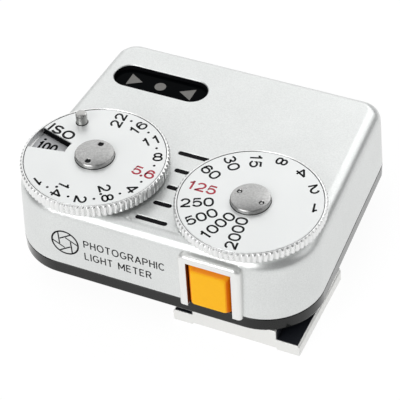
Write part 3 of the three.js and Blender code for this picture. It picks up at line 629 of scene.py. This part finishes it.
def make_surround():
    """The inverted U around the button, rounded along its outer edge only."""
    turn_x, turn_z = HOOP_OUTER - HOOP_CORNER, HOOP_TOP - HOOP_CORNER
    corner = [polar(turn_x, turn_z, HOOP_CORNER, a) for a in range(10, 91, 10)]
    right = [(HOOP_OUTER, HOOP_LOW), (HOOP_OUTER, turn_z)] + corner
    outline = [(-HOOP_INNER, KEY_HOLE_TOP), (-HOOP_INNER, HOOP_LOW), (-HOOP_OUTER, HOOP_LOW)]
    outline += [(-u, v) for u, v in right[1:]] + right[::-1]
    outline += [(HOOP_INNER, HOOP_LOW), (HOOP_INNER, KEY_HOLE_TOP)]
    surround = loft("button_surround", [[(key_x + u, y, v) for u, v in outline] for y in (cover_front, 1.1)])
    work = bmesh.new()
    work.from_mesh(surround.data)
    face_y, middle = (ORIGIN.y + cover_front) * MM, (ORIGIN.x + key_x) * MM
    leg_x, bar_z = (HOOP_INNER + NEAR) * MM, (ORIGIN.z + KEY_HOLE_TOP + NEAR) * MM
    rim = [e for e in work.edges if all(abs(v.co.y - face_y) < 1e-6 for v in e.verts)]
    outer_rim = [e for e in rim if all(abs(v.co.x - middle) > leg_x for v in e.verts)
                 or all(v.co.z > bar_z for v in e.verts)]
    bmesh.ops.bevel(work, geom=outer_rim, offset=HOOP_BEVEL * MM, segments=8, profile=0.5, affect="EDGES",
                    clamp_overlap=True)
    work.to_mesh(surround.data)
    work.free()
    boolean(surround, [block("plate_clearance", 20, 42, -0.05, 3, -1, PLATE_TOP + NEAR)])
    piece(surround, "housing", SURROUND_WHITE)


make_surround()


def make_key_gap_shade():
    """Painted shade in the gap between the surround and the key: a dark sheet whose brown also paints the key's
    orange glow bouncing in.
    """
    thick, half, low = 0.06, HOOP_INNER, HOOP_LOW + 0.4
    outline = [(-half, low), (-half, KEY_HOLE_TOP), (half, KEY_HOLE_TOP), (half, low), (half - thick, low),
               (half - thick, KEY_HOLE_TOP - thick), (-half + thick, KEY_HOLE_TOP - thick), (-half + thick, low)]
    well = loft("key_gap_shade_sheet", [[(key_x + u, y, v) for u, v in outline] for y in (cover_front + 0.1, WALL)])
    piece(well, "housing", KEY_GAP_SHADE)


make_key_gap_shade()


# ---- lettering on the rear face
def on_rear(x, z):
    """Lays figures on the rear face, which leans by the draft."""
    return lambda u, v, lift: (x + u, BODY_MIDDLE[1] * DRAFT * (z + v - PLATE_TOP) - lift, z + v)


LETTER = (0.78, 1.14, 0.185)
LETTER_GAP = 0.165
IRIS_MIDDLE = (9.2, 6.3)
IRIS_RADIUS = 2.0
rear = Print()
for words, height in (("PHOTOGRAPHIC", 6.35), ("LIGHT METER", 4.15)):
    rear.text(words, LETTER, LETTER_GAP, on_rear(12.05, height))
rear.stroke(circle(0, 0, IRIS_RADIUS, 48), True, 0.26, on_rear(*IRIS_MIDDLE))
for k in range(6):
    start, end = TAU * k / 6, TAU * (k + 1) / 6 + 0.42
    blade = [(r * cos(a), r * sin(a)) for r, a in ((IRIS_RADIUS - 0.05, start), (0.95, end))]
    rear.stroke(blade, False, 0.2, on_rear(*IRIS_MIDDLE))
rear.make("rear_lettering", "housing")

# ---- base plate, battery cap and foot
CAP_MIDDLE = middle_xy("battery_cap")
PLATE_ROUND = 0.3
BOSS_RADIUS, BOSS_BOTTOM = 7.5, -0.9
CAP_HOLE = 6.6


def countersink(node, head, sink, z0, z1):
    """The hole for a countersunk screw that goes in from below at z0."""
    p, shank = centre_of(node), 0.7
    return lathe("countersink", p.x, p.y, [
        (0, z0 - 0.5), (head, z0 - 0.5), (head, z0), (shank, z0 + sink), (shank, z1), (0, z1)], 32)


def make_base():
    turns = [radians(a) for a in range(0, 91, 10)]
    sections = [(PLATE_ROUND * (1 - sin(a)), PLATE_ROUND * (1 - cos(a))) for a in turns]
    sections += [(0.0, PLATE_TOP - 0.08), (0.06, PLATE_TOP)]
    plate = loft("base_plate_shell", [body_outline(inset, z) for inset, z in sections])
    boss = lathe("boss", *CAP_MIDDLE, [
        (0, BOSS_BOTTOM), (BOSS_RADIUS - 0.2, BOSS_BOTTOM), (BOSS_RADIUS, BOSS_BOTTOM + 0.2), (BOSS_RADIUS, 0.6),
        (0, 0.6)])
    boolean(plate, [boss], "UNION")
    tools = [lathe("cap_hole", *CAP_MIDDLE, [
        (0, -2), (CAP_HOLE + 0.2, -1.0), (CAP_HOLE, -0.8), (CAP_HOLE, 3), (0, 3)])]
    boolean(plate, tools + [countersink(f"base_screw_{i}", 1.5, 0.75, 0.0, 4) for i in range(1, 5)])
    piece(plate, "housing", BASE_GREY, ["base_plate"])


make_base()

COIN_SLOT = (10.5, 1.5)


def make_cap():
    low, high = local_box("battery_cap")
    r, z0, z1 = high.x - CAP_MIDDLE[0], low.z, high.z
    cap = lathe("battery_cap_disc", *CAP_MIDDLE, [
        (0, z0), (r - 0.25, z0), (r - 0.07, z0 + 0.07), (r, z0 + 0.25), (r, z1), (0, z1)], 128)
    boolean(cap, [loft("coin_slot", [stadium(*CAP_MIDDLE, *COIN_SLOT, z0 + rise, grow)
                                     for rise, grow in ((0.75, 0.0), (0.1, 0.0), (-0.1, 0.2))])])
    piece(cap, "cap", BASE_GREY, ["battery_cap"])


make_cap()

NECK = (27.5, 39.8)
FLANGE_TOP = -1.6
FLANGE_EDGE = 0.25
CHANNEL = 0.3
LEAD_IN = 0.5


def make_foot():
    low, high = local_box("accessory_foot")
    channel = low.z + CHANNEL
    neck0, neck1 = NECK
    shape = [(low.x, low.z), (neck0, low.z), (neck0, channel), (neck1, channel), (neck1, low.z), (high.x, low.z),
             (high.x, FLANGE_TOP - FLANGE_EDGE), (high.x - FLANGE_EDGE, FLANGE_TOP), (neck1, FLANGE_TOP),
             (neck1, 0), (neck0, 0), (neck0, FLANGE_TOP), (low.x + FLANGE_EDGE, FLANGE_TOP),
             (low.x, FLANGE_TOP - FLANGE_EDGE)]
    foot = loft("foot_body", [[(x, y, z) for x, z in shape] for y in (low.y, high.y)])
    reach = LEAD_IN * 1.414
    boolean(foot, [prism("lead_in", [(x - reach, high.y), (x, high.y - reach), (x + reach, high.y),
                                     (x, high.y + reach)], -5, 1) for x in (low.x, high.x)])
    bevelled(foot, 0.12, 3)
    boolean(foot, [countersink(f"foot_screw_{i}", 1.6, 0.8, channel, 1) for i in range(1, 5)])
    piece(foot, "housing", FOOT_SILVER, ["accessory_foot"])


make_foot()

LEAF = 0.09  # the grip leaf's thickness
LEAF_BOW = 0.1
LEAF_WIDEN = 0.2


def make_grip_spring(side):
    """A thin bowed leaf that lies on the flange, with its inner edge turned up along the neck."""
    node = "grip_spring_" + side
    low, high = local_box(node)
    steps = 24
    top = [(low.y + (high.y - low.y) * k / steps, low.z + 0.1 + LEAF_BOW * sin(pi * k / steps))
           for k in range(steps + 1)]
    profile = top + [(y, z - LEAF) for y, z in reversed(top)]
    wall = [(low.y, low.z + 0.05), (high.y, low.z + 0.05), (high.y, -0.03), (low.y, -0.03)]
    if side == "left":
        ends, inner = (low.x - LEAF_WIDEN, high.x), high.x - LEAF
    else:
        ends, inner = (low.x, high.x + LEAF_WIDEN), low.x
    leaf = loft("grip_leaf_" + side, [[(x, y, z) for y, z in profile] for x in ends])
    boolean(leaf, [loft("grip_wall", [[(x, y, z) for y, z in wall] for x in (inner, inner + LEAF)])], "UNION")
    piece(leaf, "housing", BLACKENED, [node])


for grip_side in ("left", "right"):
    make_grip_spring(grip_side)


def make_screw(node, head, shank, slot):
    """A countersunk cross-head screw, whose head is its lower end."""
    low, high = local_box(node)
    x, y = middle_xy(node)
    z0 = low.z
    screw = lathe(node + "_detail", x, y, [
        (0, z0), (head - 0.12, z0), (head - 0.03, z0 + 0.03), (head, z0 + 0.1), (shank, z0 + 0.75),
        (shank, high.z - 0.3), (shank - 0.25, high.z), (0, high.z)], 48)
    for w, d in ((0.75, 0.14), (0.14, 0.75)):
        loops = [[(x + u * w * share, y + v * d * share, z) for u, v in ((-1, -1), (1, -1), (1, 1), (-1, 1))]
                 for z, share in ((z0 - 0.1, 1.05), (z0 + 0.4, 0.8))]
        boolean(screw, [loft("cross", loops)])
    piece(screw, "housing", SLOT_FINISH[slot], [node])


for number in range(1, 5):
    make_screw(f"base_screw_{number}", 1.35, 0.6, "blackened_steel")
    make_screw(f"foot_screw_{number}", 1.45, 0.65, "plain_steel")

# ---- dials
TEETH = 84
KNURL_DEPTH = 0.3
DIAL_R = 10.3
FACE_R, RING_BORE = 9.78, 9.84
RING_BOTTOM = {"aperture": 12.6, "shutter": 12.5}
RING_LIP = {"aperture": 14.42, "shutter": 14.02}
RING_FLOOR = {"aperture": 0.7, "shutter": 0.6}
STOP_PIN_ANGLE = {"aperture": 258, "shutter": 234}
STOP_PIN_RADIUS = 5.6
FACE_BODY = {"aperture": "aperture_face", "shutter": "shutter_dial"}
RING_BODY = {"aperture": "aperture_ring", "shutter": "shutter_dial"}


def knurl(angle, radius):
    """Flat-topped ribs with V grooves between them; radii under the knurling stay round."""
    if radius < DIAL_R - KNURL_DEPTH - 0.01:
        return radius
    phase = (angle * TEETH / TAU) % 1.0
    groove = max(0.0, 1 - abs(phase - 0.5) / 0.32)
    return radius - groove * min(KNURL_DEPTH, radius - (DIAL_R - KNURL_DEPTH))


def make_grip_ring(dial):
    low, high = local_box(dial + "_grip_ring")
    r, z0, lip = DIAL_R, RING_BOTTOM[dial], RING_LIP[dial]
    floor = z0 + RING_FLOOR[dial]
    ring = lathe(dial + "_knurled_ring", *HUBS[dial], [
        (1.56, z0), (r - 0.42, z0), (r - 0.30, z0 + 0.02), (r - 0.06, z0 + 0.16), (r, z0 + 0.28), (r, lip - 0.30),
        (r - 0.05, lip - 0.16), (r - 0.20, lip - 0.03), (r - 0.28, lip), (RING_BORE + 0.04, lip),
        (RING_BORE, lip - 0.05), (RING_BORE, floor), (1.9, floor), (1.9, high.z), (1.56, high.z)],
        TEETH * 8, radius_at=knurl)
    pin = lathe("stop_pin", *polar(*HUBS[dial], STOP_PIN_RADIUS, STOP_PIN_ANGLE[dial]), [
        (0, low.z), (0.42, low.z), (0.5, low.z + 0.08), (0.5, z0 + 0.2), (0, z0 + 0.2)], 24)
    boolean(ring, [pin], "UNION")
    piece(ring, RING_BODY[dial], DIAL_RIM, [dial + "_grip_ring"], angle=28)


ISO_ANGLE, ISO_HALF, ISO_INNER = 176.2, 13.0, 4.3


def iso_path(reach, inset, steps=8):
    """The ISO window's plan, pulled in by inset, from radius reach round its inner end and back out to reach."""
    inner, middle = ISO_INNER + inset, radians(ISO_ANGLE)
    near, far = (radians(ISO_HALF) - asin(inset / r) for r in (inner, reach))
    end = [(inner, middle + near * (2 * k / steps - 1)) for k in range(steps + 1)]
    x, y = HUBS["aperture"]
    path = [(reach, middle - far)] + end + [(reach, middle + far)]
    return [(x + r * cos(a), y + r * sin(a)) for r, a in path]


def make_face(dial):
    low, high = local_box(dial + "_face_disc")
    r, z0, z1 = FACE_R, low.z, high.z
    disc = lathe(dial + "_face", *HUBS[dial], [
        (2.0, z0), (r, z0), (r, z1 - 0.08), (r - 0.06, z1 - 0.015), (r - 0.12, z1), (2.0, z1)], 180)
    if dial == "aperture":
        pin = centre_of("iso_setting_pin")
        boolean(disc, [prism("iso_window", iso_path(DIAL_R + 0.7, 0.0), z0 - 1, z1 + 1),
                       rod("pin_hole", pin.x, pin.y, 0.5, z0 - 1, z1 + 1, 32)])
    piece(disc, FACE_BODY[dial], DIAL_FACE, [dial + "_face_disc"])


def make_face_gap_shade(dial):
    """Painted shade in the gap between a face disc and its ring: a black ring sunk a little below the face."""
    low, high = local_box(dial + "_face_disc")
    inner, outer, z0, z1 = FACE_R + 0.002, RING_BORE - 0.005, low.z + 0.1, high.z - 0.05
    name = dial + "_face_gap_shade"
    if dial == "shutter":
        ring = washer(name, *HUBS[dial], inner, outer, z0, z1, 180)
    else:
        steps = 170
        angles = [ISO_ANGLE + ISO_HALF + (360 - 2 * ISO_HALF) * k / steps for k in range(steps + 1)]
        path = [(outer, a) for a in angles] + [(inner, a) for a in angles[::-1]]
        points = [polar(*HUBS[dial], r, a) for r, a in path]
        ring = prism(name, points, z0, z1)
    piece(ring, FACE_BODY[dial])


for make_dial_part in (make_grip_ring, make_face, make_face_gap_shade):
    for dial_name in ("aperture", "shutter"):
        make_dial_part(dial_name)


def make_iso_window_shade():
    """Painted shade in the ISO window: a black wall round its sides and inner end, and a narrow black strip of
    painted shadow on the floor at its foot.
    """
    low, high = local_box("aperture_face_disc")
    for name, near, far, z0, z1 in (("iso_window_wall_shade", 0.01, 0.07, low.z + 0.02, high.z - 0.2),
                                    ("iso_window_floor_shade", 0.08, 0.32, low.z + 0.06, low.z + 0.16)):
        path = iso_path(FACE_R - 0.05, near) + iso_path(FACE_R - 0.05, far)[::-1]
        piece(prism(name, path, z0, z1), "aperture_face")


make_iso_window_shade()

FIGURE = (1.13, 1.43, 0.29)
FIGURE_GAP = 0.12
FIGURE_END = 9.35
STEP = 24


def dial_label(sheet, text, dial, z, angle, inward, size=FIGURE, gap=FIGURE_GAP, outer=FIGURE_END):
    """Prints figures along the ray at angle, out to radius outer. They read towards the centre if inward."""
    ray = Vector(polar(0, 0, 1, angle))
    run = -ray if inward else ray
    up = Vector((-run.y, run.x))
    start = Vector(HUBS[dial]) + ray * outer - up * (size[1] + size[2]) / 2
    if not inward:
        start -= run * text_width(text, size, gap)
    sheet.text(text, size, gap, plan_space(start, run, z))


def dial_dot(sheet, dial, z, angle, radius, size):
    sheet.polygon(circle(*polar(*HUBS[dial], radius, angle), size, 16), flat_at(z))


CROWDED = {"1000": -2.5, "500": -1.0}  # long figures that turn a little away from the next


def dial_scale(dial, stops, first, turn, inward, red_stop):
    """A dial's printed scale, one stop to each click: its black sheet, its red one, and the face's height."""
    z = face_top(dial)
    black, red = Print(), Print()
    for i, stop in enumerate(stops):
        nudge = CROWDED.get(stop, 0.0)
        dial_label(red if stop == red_stop else black, stop, dial, z, first + turn * i + nudge, inward)
    return black, red, z


APERTURES = "22 16 11 8 5.6 4 2.8 2 1.4 1".split()
TIMES = "1 2 4 8 15 30 60 125 250 500 1000 2000".split()
SPEEDS = "3200 1600 800 400 200 100 50 25".split()
ISO_TITLE = (1.33, 1.40, 0.35)
ISO_TITLE_GAP = 0.2
ISO_READING = 177.2
ISO_FIGURE = {"size": (0.74, 1.38, 0.34), "gap": 0.03, "outer": 9.4}

black, red, face_z = dial_scale("aperture", APERTURES, 92, -STEP, False, "5.6")
for i in range(1, len(APERTURES)):
    dial_dot(black, "aperture", face_z, 92 + STEP / 2 - STEP * i, 8.5, 0.19)
iso_run = Vector(polar(0, 0, 1, -13.5))
iso_start = (Vector(HUBS["aperture"]) + 7.15 * Vector(polar(0, 0, 1, 156.2))
             - iso_run * text_width("ISO", ISO_TITLE, ISO_TITLE_GAP) / 2
             - Vector((-iso_run.y, iso_run.x)) * (ISO_TITLE[1] + ISO_TITLE[2]) / 2)
black.text("ISO", ISO_TITLE, ISO_TITLE_GAP, plan_space(iso_start, iso_run, face_z))
black.make("aperture_figures", "aperture_face")
red.make("aperture_red_figure", "aperture_face", "black_plastic", INK_RED)

floor_z = RING_BOTTOM["aperture"] + RING_FLOOR["aperture"] + 0.02
scale_plate = washer("iso_scale_plate", *HUBS["aperture"], 4.0, 9.7, floor_z - 0.03, floor_z, 128)
piece(scale_plate, "aperture_ring", ISO_FLOOR)
speeds = Print(depth=0.02)
for i, speed in enumerate(SPEEDS):
    angle = ISO_READING + STEP * (i - SPEEDS.index("100"))
    dial_label(speeds, speed, "aperture", floor_z, angle, True, **ISO_FIGURE)
    for third in (-STEP / 3, STEP / 3):
        dial_dot(speeds, "aperture", floor_z, angle + third, 8.8, 0.22)
speeds.make("iso_figures", "aperture_ring", "black_plastic", BLACK_INK_AND_SHADE)

black, red, face_z = dial_scale("shutter", TIMES, 12, STEP, True, "125")
black.make("shutter_figures", "shutter_dial")
red.make("shutter_red_figure", "shutter_dial", "black_plastic", INK_RED)

NUT_R = 2.72
KEY_CIRCLE = 1.85


def make_nut(dial, key_angle, hole, bright):
    """A round nut with two key holes, each with a black disc of painted shade at its bottom and round a plug of
    radius bright if there is one; a black ring under the nut paints its contact shadow.
    """
    body = RING_BODY[dial]
    z1, r = local_box(dial + "_dial_nut")[1].z, NUT_R
    z0 = z1 - 0.65
    nut = lathe(dial + "_nut", *HUBS[dial], [
        (0, z1), (r - 0.22, z1), (r - 0.08, z1 - 0.04), (r, z1 - 0.14), (r, z0 + 0.03), (r - 0.05, z0), (0.8, z0),
        (0.8, z0 - 3), (0, z0 - 3)], 128)
    spots = [polar(*HUBS[dial], KEY_CIRCLE, key_angle + turn) for turn in (0, 180)]
    boolean(nut, [lathe("key_hole", x, y, [(0, z1 - 0.45), (hole, z1 - 0.45), (hole, z1 - 0.05),
                                           (hole + 0.09, z1 + 0.05), (0, z1 + 0.05)], 24) for x, y in spots])
    # Black discs of painted shade at the bottoms of the key holes.
    shade, plug = Print(depth=0.2, proud=-0.14), Print(depth=0.1, proud=-0.1)
    for spot in spots:
        shade.polygon(circle(*spot, hole - 0.004, 24), flat_at(z1))
        plug.polygon(circle(*spot, bright, 24), flat_at(z1))
    shade.make(dial + "_nut_hole_shade", body)
    if bright:
        plug.make(dial + "_nut_plugs", body, "plain_steel", NUT_STEEL)
    # A black ring of painted contact shadow round the nut's foot.
    face = face_top(dial)
    gap = washer(dial + "_nut_contact_shade", *HUBS[dial], r - 0.3, r + 0.08, face - 0.04, face + 0.008)
    piece(gap, body)
    piece(nut, body, NUT_STEEL, [dial + "_dial_nut"])


make_nut("aperture", 88, 0.4, 0)
make_nut("shutter", 164.5, 0.34, 0.19)


def make_iso_pin():
    low, high = local_box("iso_setting_pin")
    c = centre_of("iso_setting_pin")
    base = face_top("aperture")
    r, top = 0.8, high.z
    # A black ring of painted contact shadow round the pin's foot.
    gap = washer("iso_pin_contact_shade", c.x, c.y, 0.7, r + 0.1, base - 0.05, base + 0.006, 64)
    piece(gap, "aperture_face")
    pin = lathe("iso_pin", c.x, c.y, [
        (0, low.z), (0.44, low.z), (0.44, base + 0.01), (r - 0.04, base + 0.01), (r, base + 0.06), (r, top - 0.16),
        (r - 0.05, top - 0.05), (r - 0.16, top), (0, top)], 64)
    piece(pin, "aperture_face", PIN_STEEL, ["iso_setting_pin"])


make_iso_pin()


# ---- measuring button
KEY_HALF = 3.08
KEY_LOW, KEY_HIGH = 2.55, 9.7
KEY_DEPTH = 0.8  # how far the sloping sides reach back from the front
KEY_SLOPE = 0.6  # how far they come in
KEY_FIRST = 0.05  # how far they start in from the key's full size
KEY_ROUND = 0.14


def key_outline(inset, y, steps=6):
    """The key's outline, whose top comes in by inset, its sides by less and its bottom least."""
    middle, half_high = (KEY_LOW + KEY_HIGH) / 2, (KEY_HIGH - KEY_LOW) / 2
    loop = []
    for sx, sz, start, corner in ((1, -1, -90, 0.3), (1, 1, 0, 0.6), (-1, 1, 90, 0.6), (-1, -1, 180, 0.3)):
        rise = inset if sz > 0 else inset / 3
        across = KEY_HALF - 0.75 * inset - corner
        for k in range(steps + 1):
            x, z = polar(sx * across, sz * (half_high - rise - corner), corner, start + 90 * k / steps)
            loop.append((key_x + x, y, middle + z))
    return loop


def make_button():
    low, high = local_box("measuring_button")
    front = low.y
    loops = [key_outline(0.0, WALL + 0.5), key_outline(0.0, front + KEY_DEPTH + 0.12),
             key_outline(KEY_FIRST, front + KEY_DEPTH)]
    for share in (k / 8 for k in range(1, 8)):
        back = KEY_DEPTH - (KEY_DEPTH - KEY_ROUND) * share
        loops.append(key_outline(KEY_FIRST + KEY_SLOPE * share, front + back))
    for a in range(0, 91, 18):
        turn = sin(radians(a))
        loops.append(key_outline(KEY_FIRST + KEY_SLOPE + 0.22 * turn, front + 0.02 + 0.12 * (1 - turn)))
    loops += [key_outline(1.5, front + 0.005), key_outline(2.3, front)]
    key = loft("orange_key", loops)
    flange = block("flange", key_x - 3.75, key_x + 3.75, WALL + 0.1, WALL + 0.9, 2.3, 10.4)
    stud_end = high.y - 0.04
    stud = lathe("stud", key_x, centre_of("button_return_spring").z, [
        (0, 1.5), (0.8, 1.5), (0.8, stud_end - 0.15), (0.65, stud_end), (0, stud_end)], 32, axis="Y")
    for part in (flange, stud):
        boolean(key, [part], "UNION")
    piece(key, "button", ORANGE, ["measuring_button"], angle=40)


make_button()

WIRE = 0.14  # the return spring's wire radius
COIL_TURNS = 5


def make_return_spring():
    """The coil behind the key, towards the switch."""
    low, high = local_box("button_return_spring")
    c = centre_of("button_return_spring")
    steps = 24
    reach = (high.x - low.x) / 2 - WIRE
    start, end = low.y + WIRE, high.y - WIRE
    section = circle(0, 0, WIRE, 8)
    loops = []
    for k in range(COIL_TURNS * steps + 1):
        turn = TAU * k / steps
        y = start + (end - start) * k / (COIL_TURNS * steps)
        loops.append([(c.x + (reach + u) * cos(turn), y + v, c.z - (reach + u) * sin(turn))
                      for u, v in section])
    spring = loft("return_spring", loops)
    piece(spring, "housing", SPRING_STEEL, ["button_return_spring"], angle=60)
    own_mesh(spring)


make_return_spring()


# ---- indicator
GLASS_TOP = 11.45
LINER = 0.06


def make_indicator():
    """The dark pane, the black wall of the opening above it, and the three lamp symbols."""
    low = local_box("indicator_window")[0]
    wx, wy, length, width = pane_opening()

    def outline(z, grow):
        return stadium(wx, wy, length + grow, width + grow, z)

    lip = 2 * PANE_LIP
    pane = loft("indicator_pane", [outline(low.z, lip), outline(low.z + 0.22, lip), outline(low.z + 0.23, -0.1),
                                   outline(GLASS_TOP - 0.04, -0.1), outline(GLASS_TOP, -0.18)])
    piece(pane, "housing", SMOKED_GLASS, ["indicator_window"])
    foot, head = GLASS_TOP - 0.3, TOP - 0.12
    liner = loft("indicator_liner", [outline(foot, -0.02), outline(head, -0.02), outline(head, -LINER),
                                     outline(foot, -LINER)], closed=True)
    piece(liner, "housing")
    symbols, flat = Print(depth=0.02, proud=0.004), flat_at(GLASS_TOP)
    for side in (-1, 1):
        base = wx + side * 5.1
        symbols.polygon([(base, wy - 1.25), (base, wy + 1.25), (base - side * 2.15, wy)], flat)
    symbols.polygon(circle(wx - 0.1, wy, 0.85, 32), flat)
    symbols.make("indicator_symbols", "housing", "diffuser", DIFFUSER)


make_indicator()


# ---- light cell window and batteries
def make_cell_window():
    low, high = local_box("cell_window")
    c = centre_of("cell_window")
    r, y0, y1 = high.x - c.x, low.y, high.y
    turns = [radians(a) for a in range(0, 90, 10)]
    dome = [(r * 0.86 * cos(a), y1 - 0.35 + 0.35 * sin(a)) for a in turns]
    profile = [(0, y0), (r, y0), (r, y1 - 0.45), (r - 0.1, y1 - 0.35)] + dome + [(0, y1)]
    lens = lathe("cell_lens", c.x, c.z, profile, axis="Y")
    piece(lens, "housing", CELL_WHITE, ["cell_window"])


make_cell_window()

CELL_RADIUS = 5.8


def make_battery(node):
    """A button cell: its can, the crimped edge and the raised cap."""
    low, high = local_box(node)
    c = centre_of(node)
    r, z0, z1 = CELL_RADIUS, low.z, high.z
    cell = lathe(node + "_can", c.x, c.y, [
        (0, z0), (r - 0.5, z0), (r - 0.15, z0 + 0.12), (r, z0 + 0.45), (r, z1 - 0.45), (r - 0.08, z1 - 0.3),
        (r - 0.35, z1 - 0.25), (r - 0.75, z1 - 0.27), (r - 0.85, z1 - 0.5), (r - 0.95, z1 - 0.27),
        (r - 1.15, z1 - 0.05), (r - 1.4, z1), (0, z1)])
    piece(cell, "batteries", PLAIN_STEEL, [node])


for battery in ("battery_lower", "battery_upper"):
    make_battery(battery)

# ---- CAD nodes that stay
slots = {s["node"]: s["material_slot"] for s in frame["record"]["subparts"]}
for node, obj in frame["nodes"].items():
    obj.data.materials.clear()
    obj.data.materials.append(SLOT_FINISH[slots[node]])

# ---- floor, light and camera
FLOOR_HALF = 1.2  # metres
SKY = 0.15


def make_floor():
    """A wide white floor that stays nearly white in the object's shadow."""
    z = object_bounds()[0][2]
    mesh = bpy.data.meshes.new("floor")
    mesh.from_pydata([(u * FLOOR_HALF, v * FLOOR_HALF, z) for u, v in ((-1, -1), (1, -1), (1, 1), (-1, 1))], [],
                     [(0, 1, 2, 3)])
    floor = add_object("floor", mesh)
    mat = bpy.data.materials.new("floor_white")
    mat.use_nodes = True
    set_inputs(mat.node_tree.nodes["Principled BSDF"], {
        "Base Color": (0.1, 0.1, 0.1, 1), "Roughness": 0.9, "Specular IOR Level": 0.0,
        "Emission Color": (1, 1, 1, 1), "Emission Strength": 0.94})
    mesh.materials.append(mat)


make_floor()


world = bpy.data.worlds.new("studio")
bpy.context.scene.world = world
world.use_nodes = True
set_inputs(world.node_tree.nodes["Background"], {"Color": (0.98, 0.99, 1.0, 1), "Strength": SKY})

# Where the softboxes aim, and how far off they stand, in metres.
LIGHT_TARGET = Vector((-0.0125, 0.0095, 0.008))
LIGHT_DISTANCE = 0.5


def softbox(name, azimuth, elevation, size, power):
    """An area light aimed at the object. azimuth is measured from +X towards +Y."""
    a, e = radians(azimuth), radians(elevation)
    way = Vector((cos(a) * cos(e), sin(a) * cos(e), sin(e)))
    light = bpy.data.lights.new(name, "AREA")
    light.shape = "RECTANGLE"
    light.size, light.size_y = size
    light.energy = power
    obj = add_object(name, light)
    obj.location = LIGHT_TARGET + way * LIGHT_DISTANCE
    obj.rotation_euler = (-way).to_track_quat("-Z", "Y").to_euler()


softbox("front", 255, 30, (0.3, 0.3), 1.23)
softbox("back", 120, 30, (0.45, 0.5), 0.81)
softbox("side", 68, 38, (0.42, 0.26), 0.67)
softbox("top", 195, 68, (0.35, 0.35), 0.41)
softbox("right", 15, 32, (0.3, 0.3), 0.26)

CAMERA_ANGLES = (26.96, 43.36, -3.853)  # azimuth from behind, elevation and roll
CAMERA_TARGET = (23.7055, 12.9401, 8.0)
CAMERA_DISTANCE = 0.2434053  # metres
CAMERA_LENS = 159.36


def make_camera():
    azimuth, elevation, roll = (radians(a) for a in CAMERA_ANGLES)
    back = Vector((sin(azimuth) * cos(elevation), -cos(azimuth) * cos(elevation),
                   sin(elevation)))
    target = (ORIGIN + Vector(CAMERA_TARGET)) * MM
    side = Vector((0, 0, 1)).cross(back).normalized()
    up = back.cross(side)
    turned_side = side * cos(roll) + up * sin(roll)
    turned_up = up * cos(roll) - side * sin(roll)
    camera = add_object("camera", bpy.data.cameras.new("camera"))
    camera.data.sensor_width = 36
    camera.data.lens = CAMERA_LENS
    camera.data.clip_start = 0.01
    rotation = Matrix((turned_side, turned_up, back)).transposed().to_4x4()
    camera.matrix_world = Matrix.Translation(target + back * CAMERA_DISTANCE) @ rotation
    bpy.context.scene.camera = camera


make_camera()
bpy.context.scene.view_settings.view_transform = "Standard"
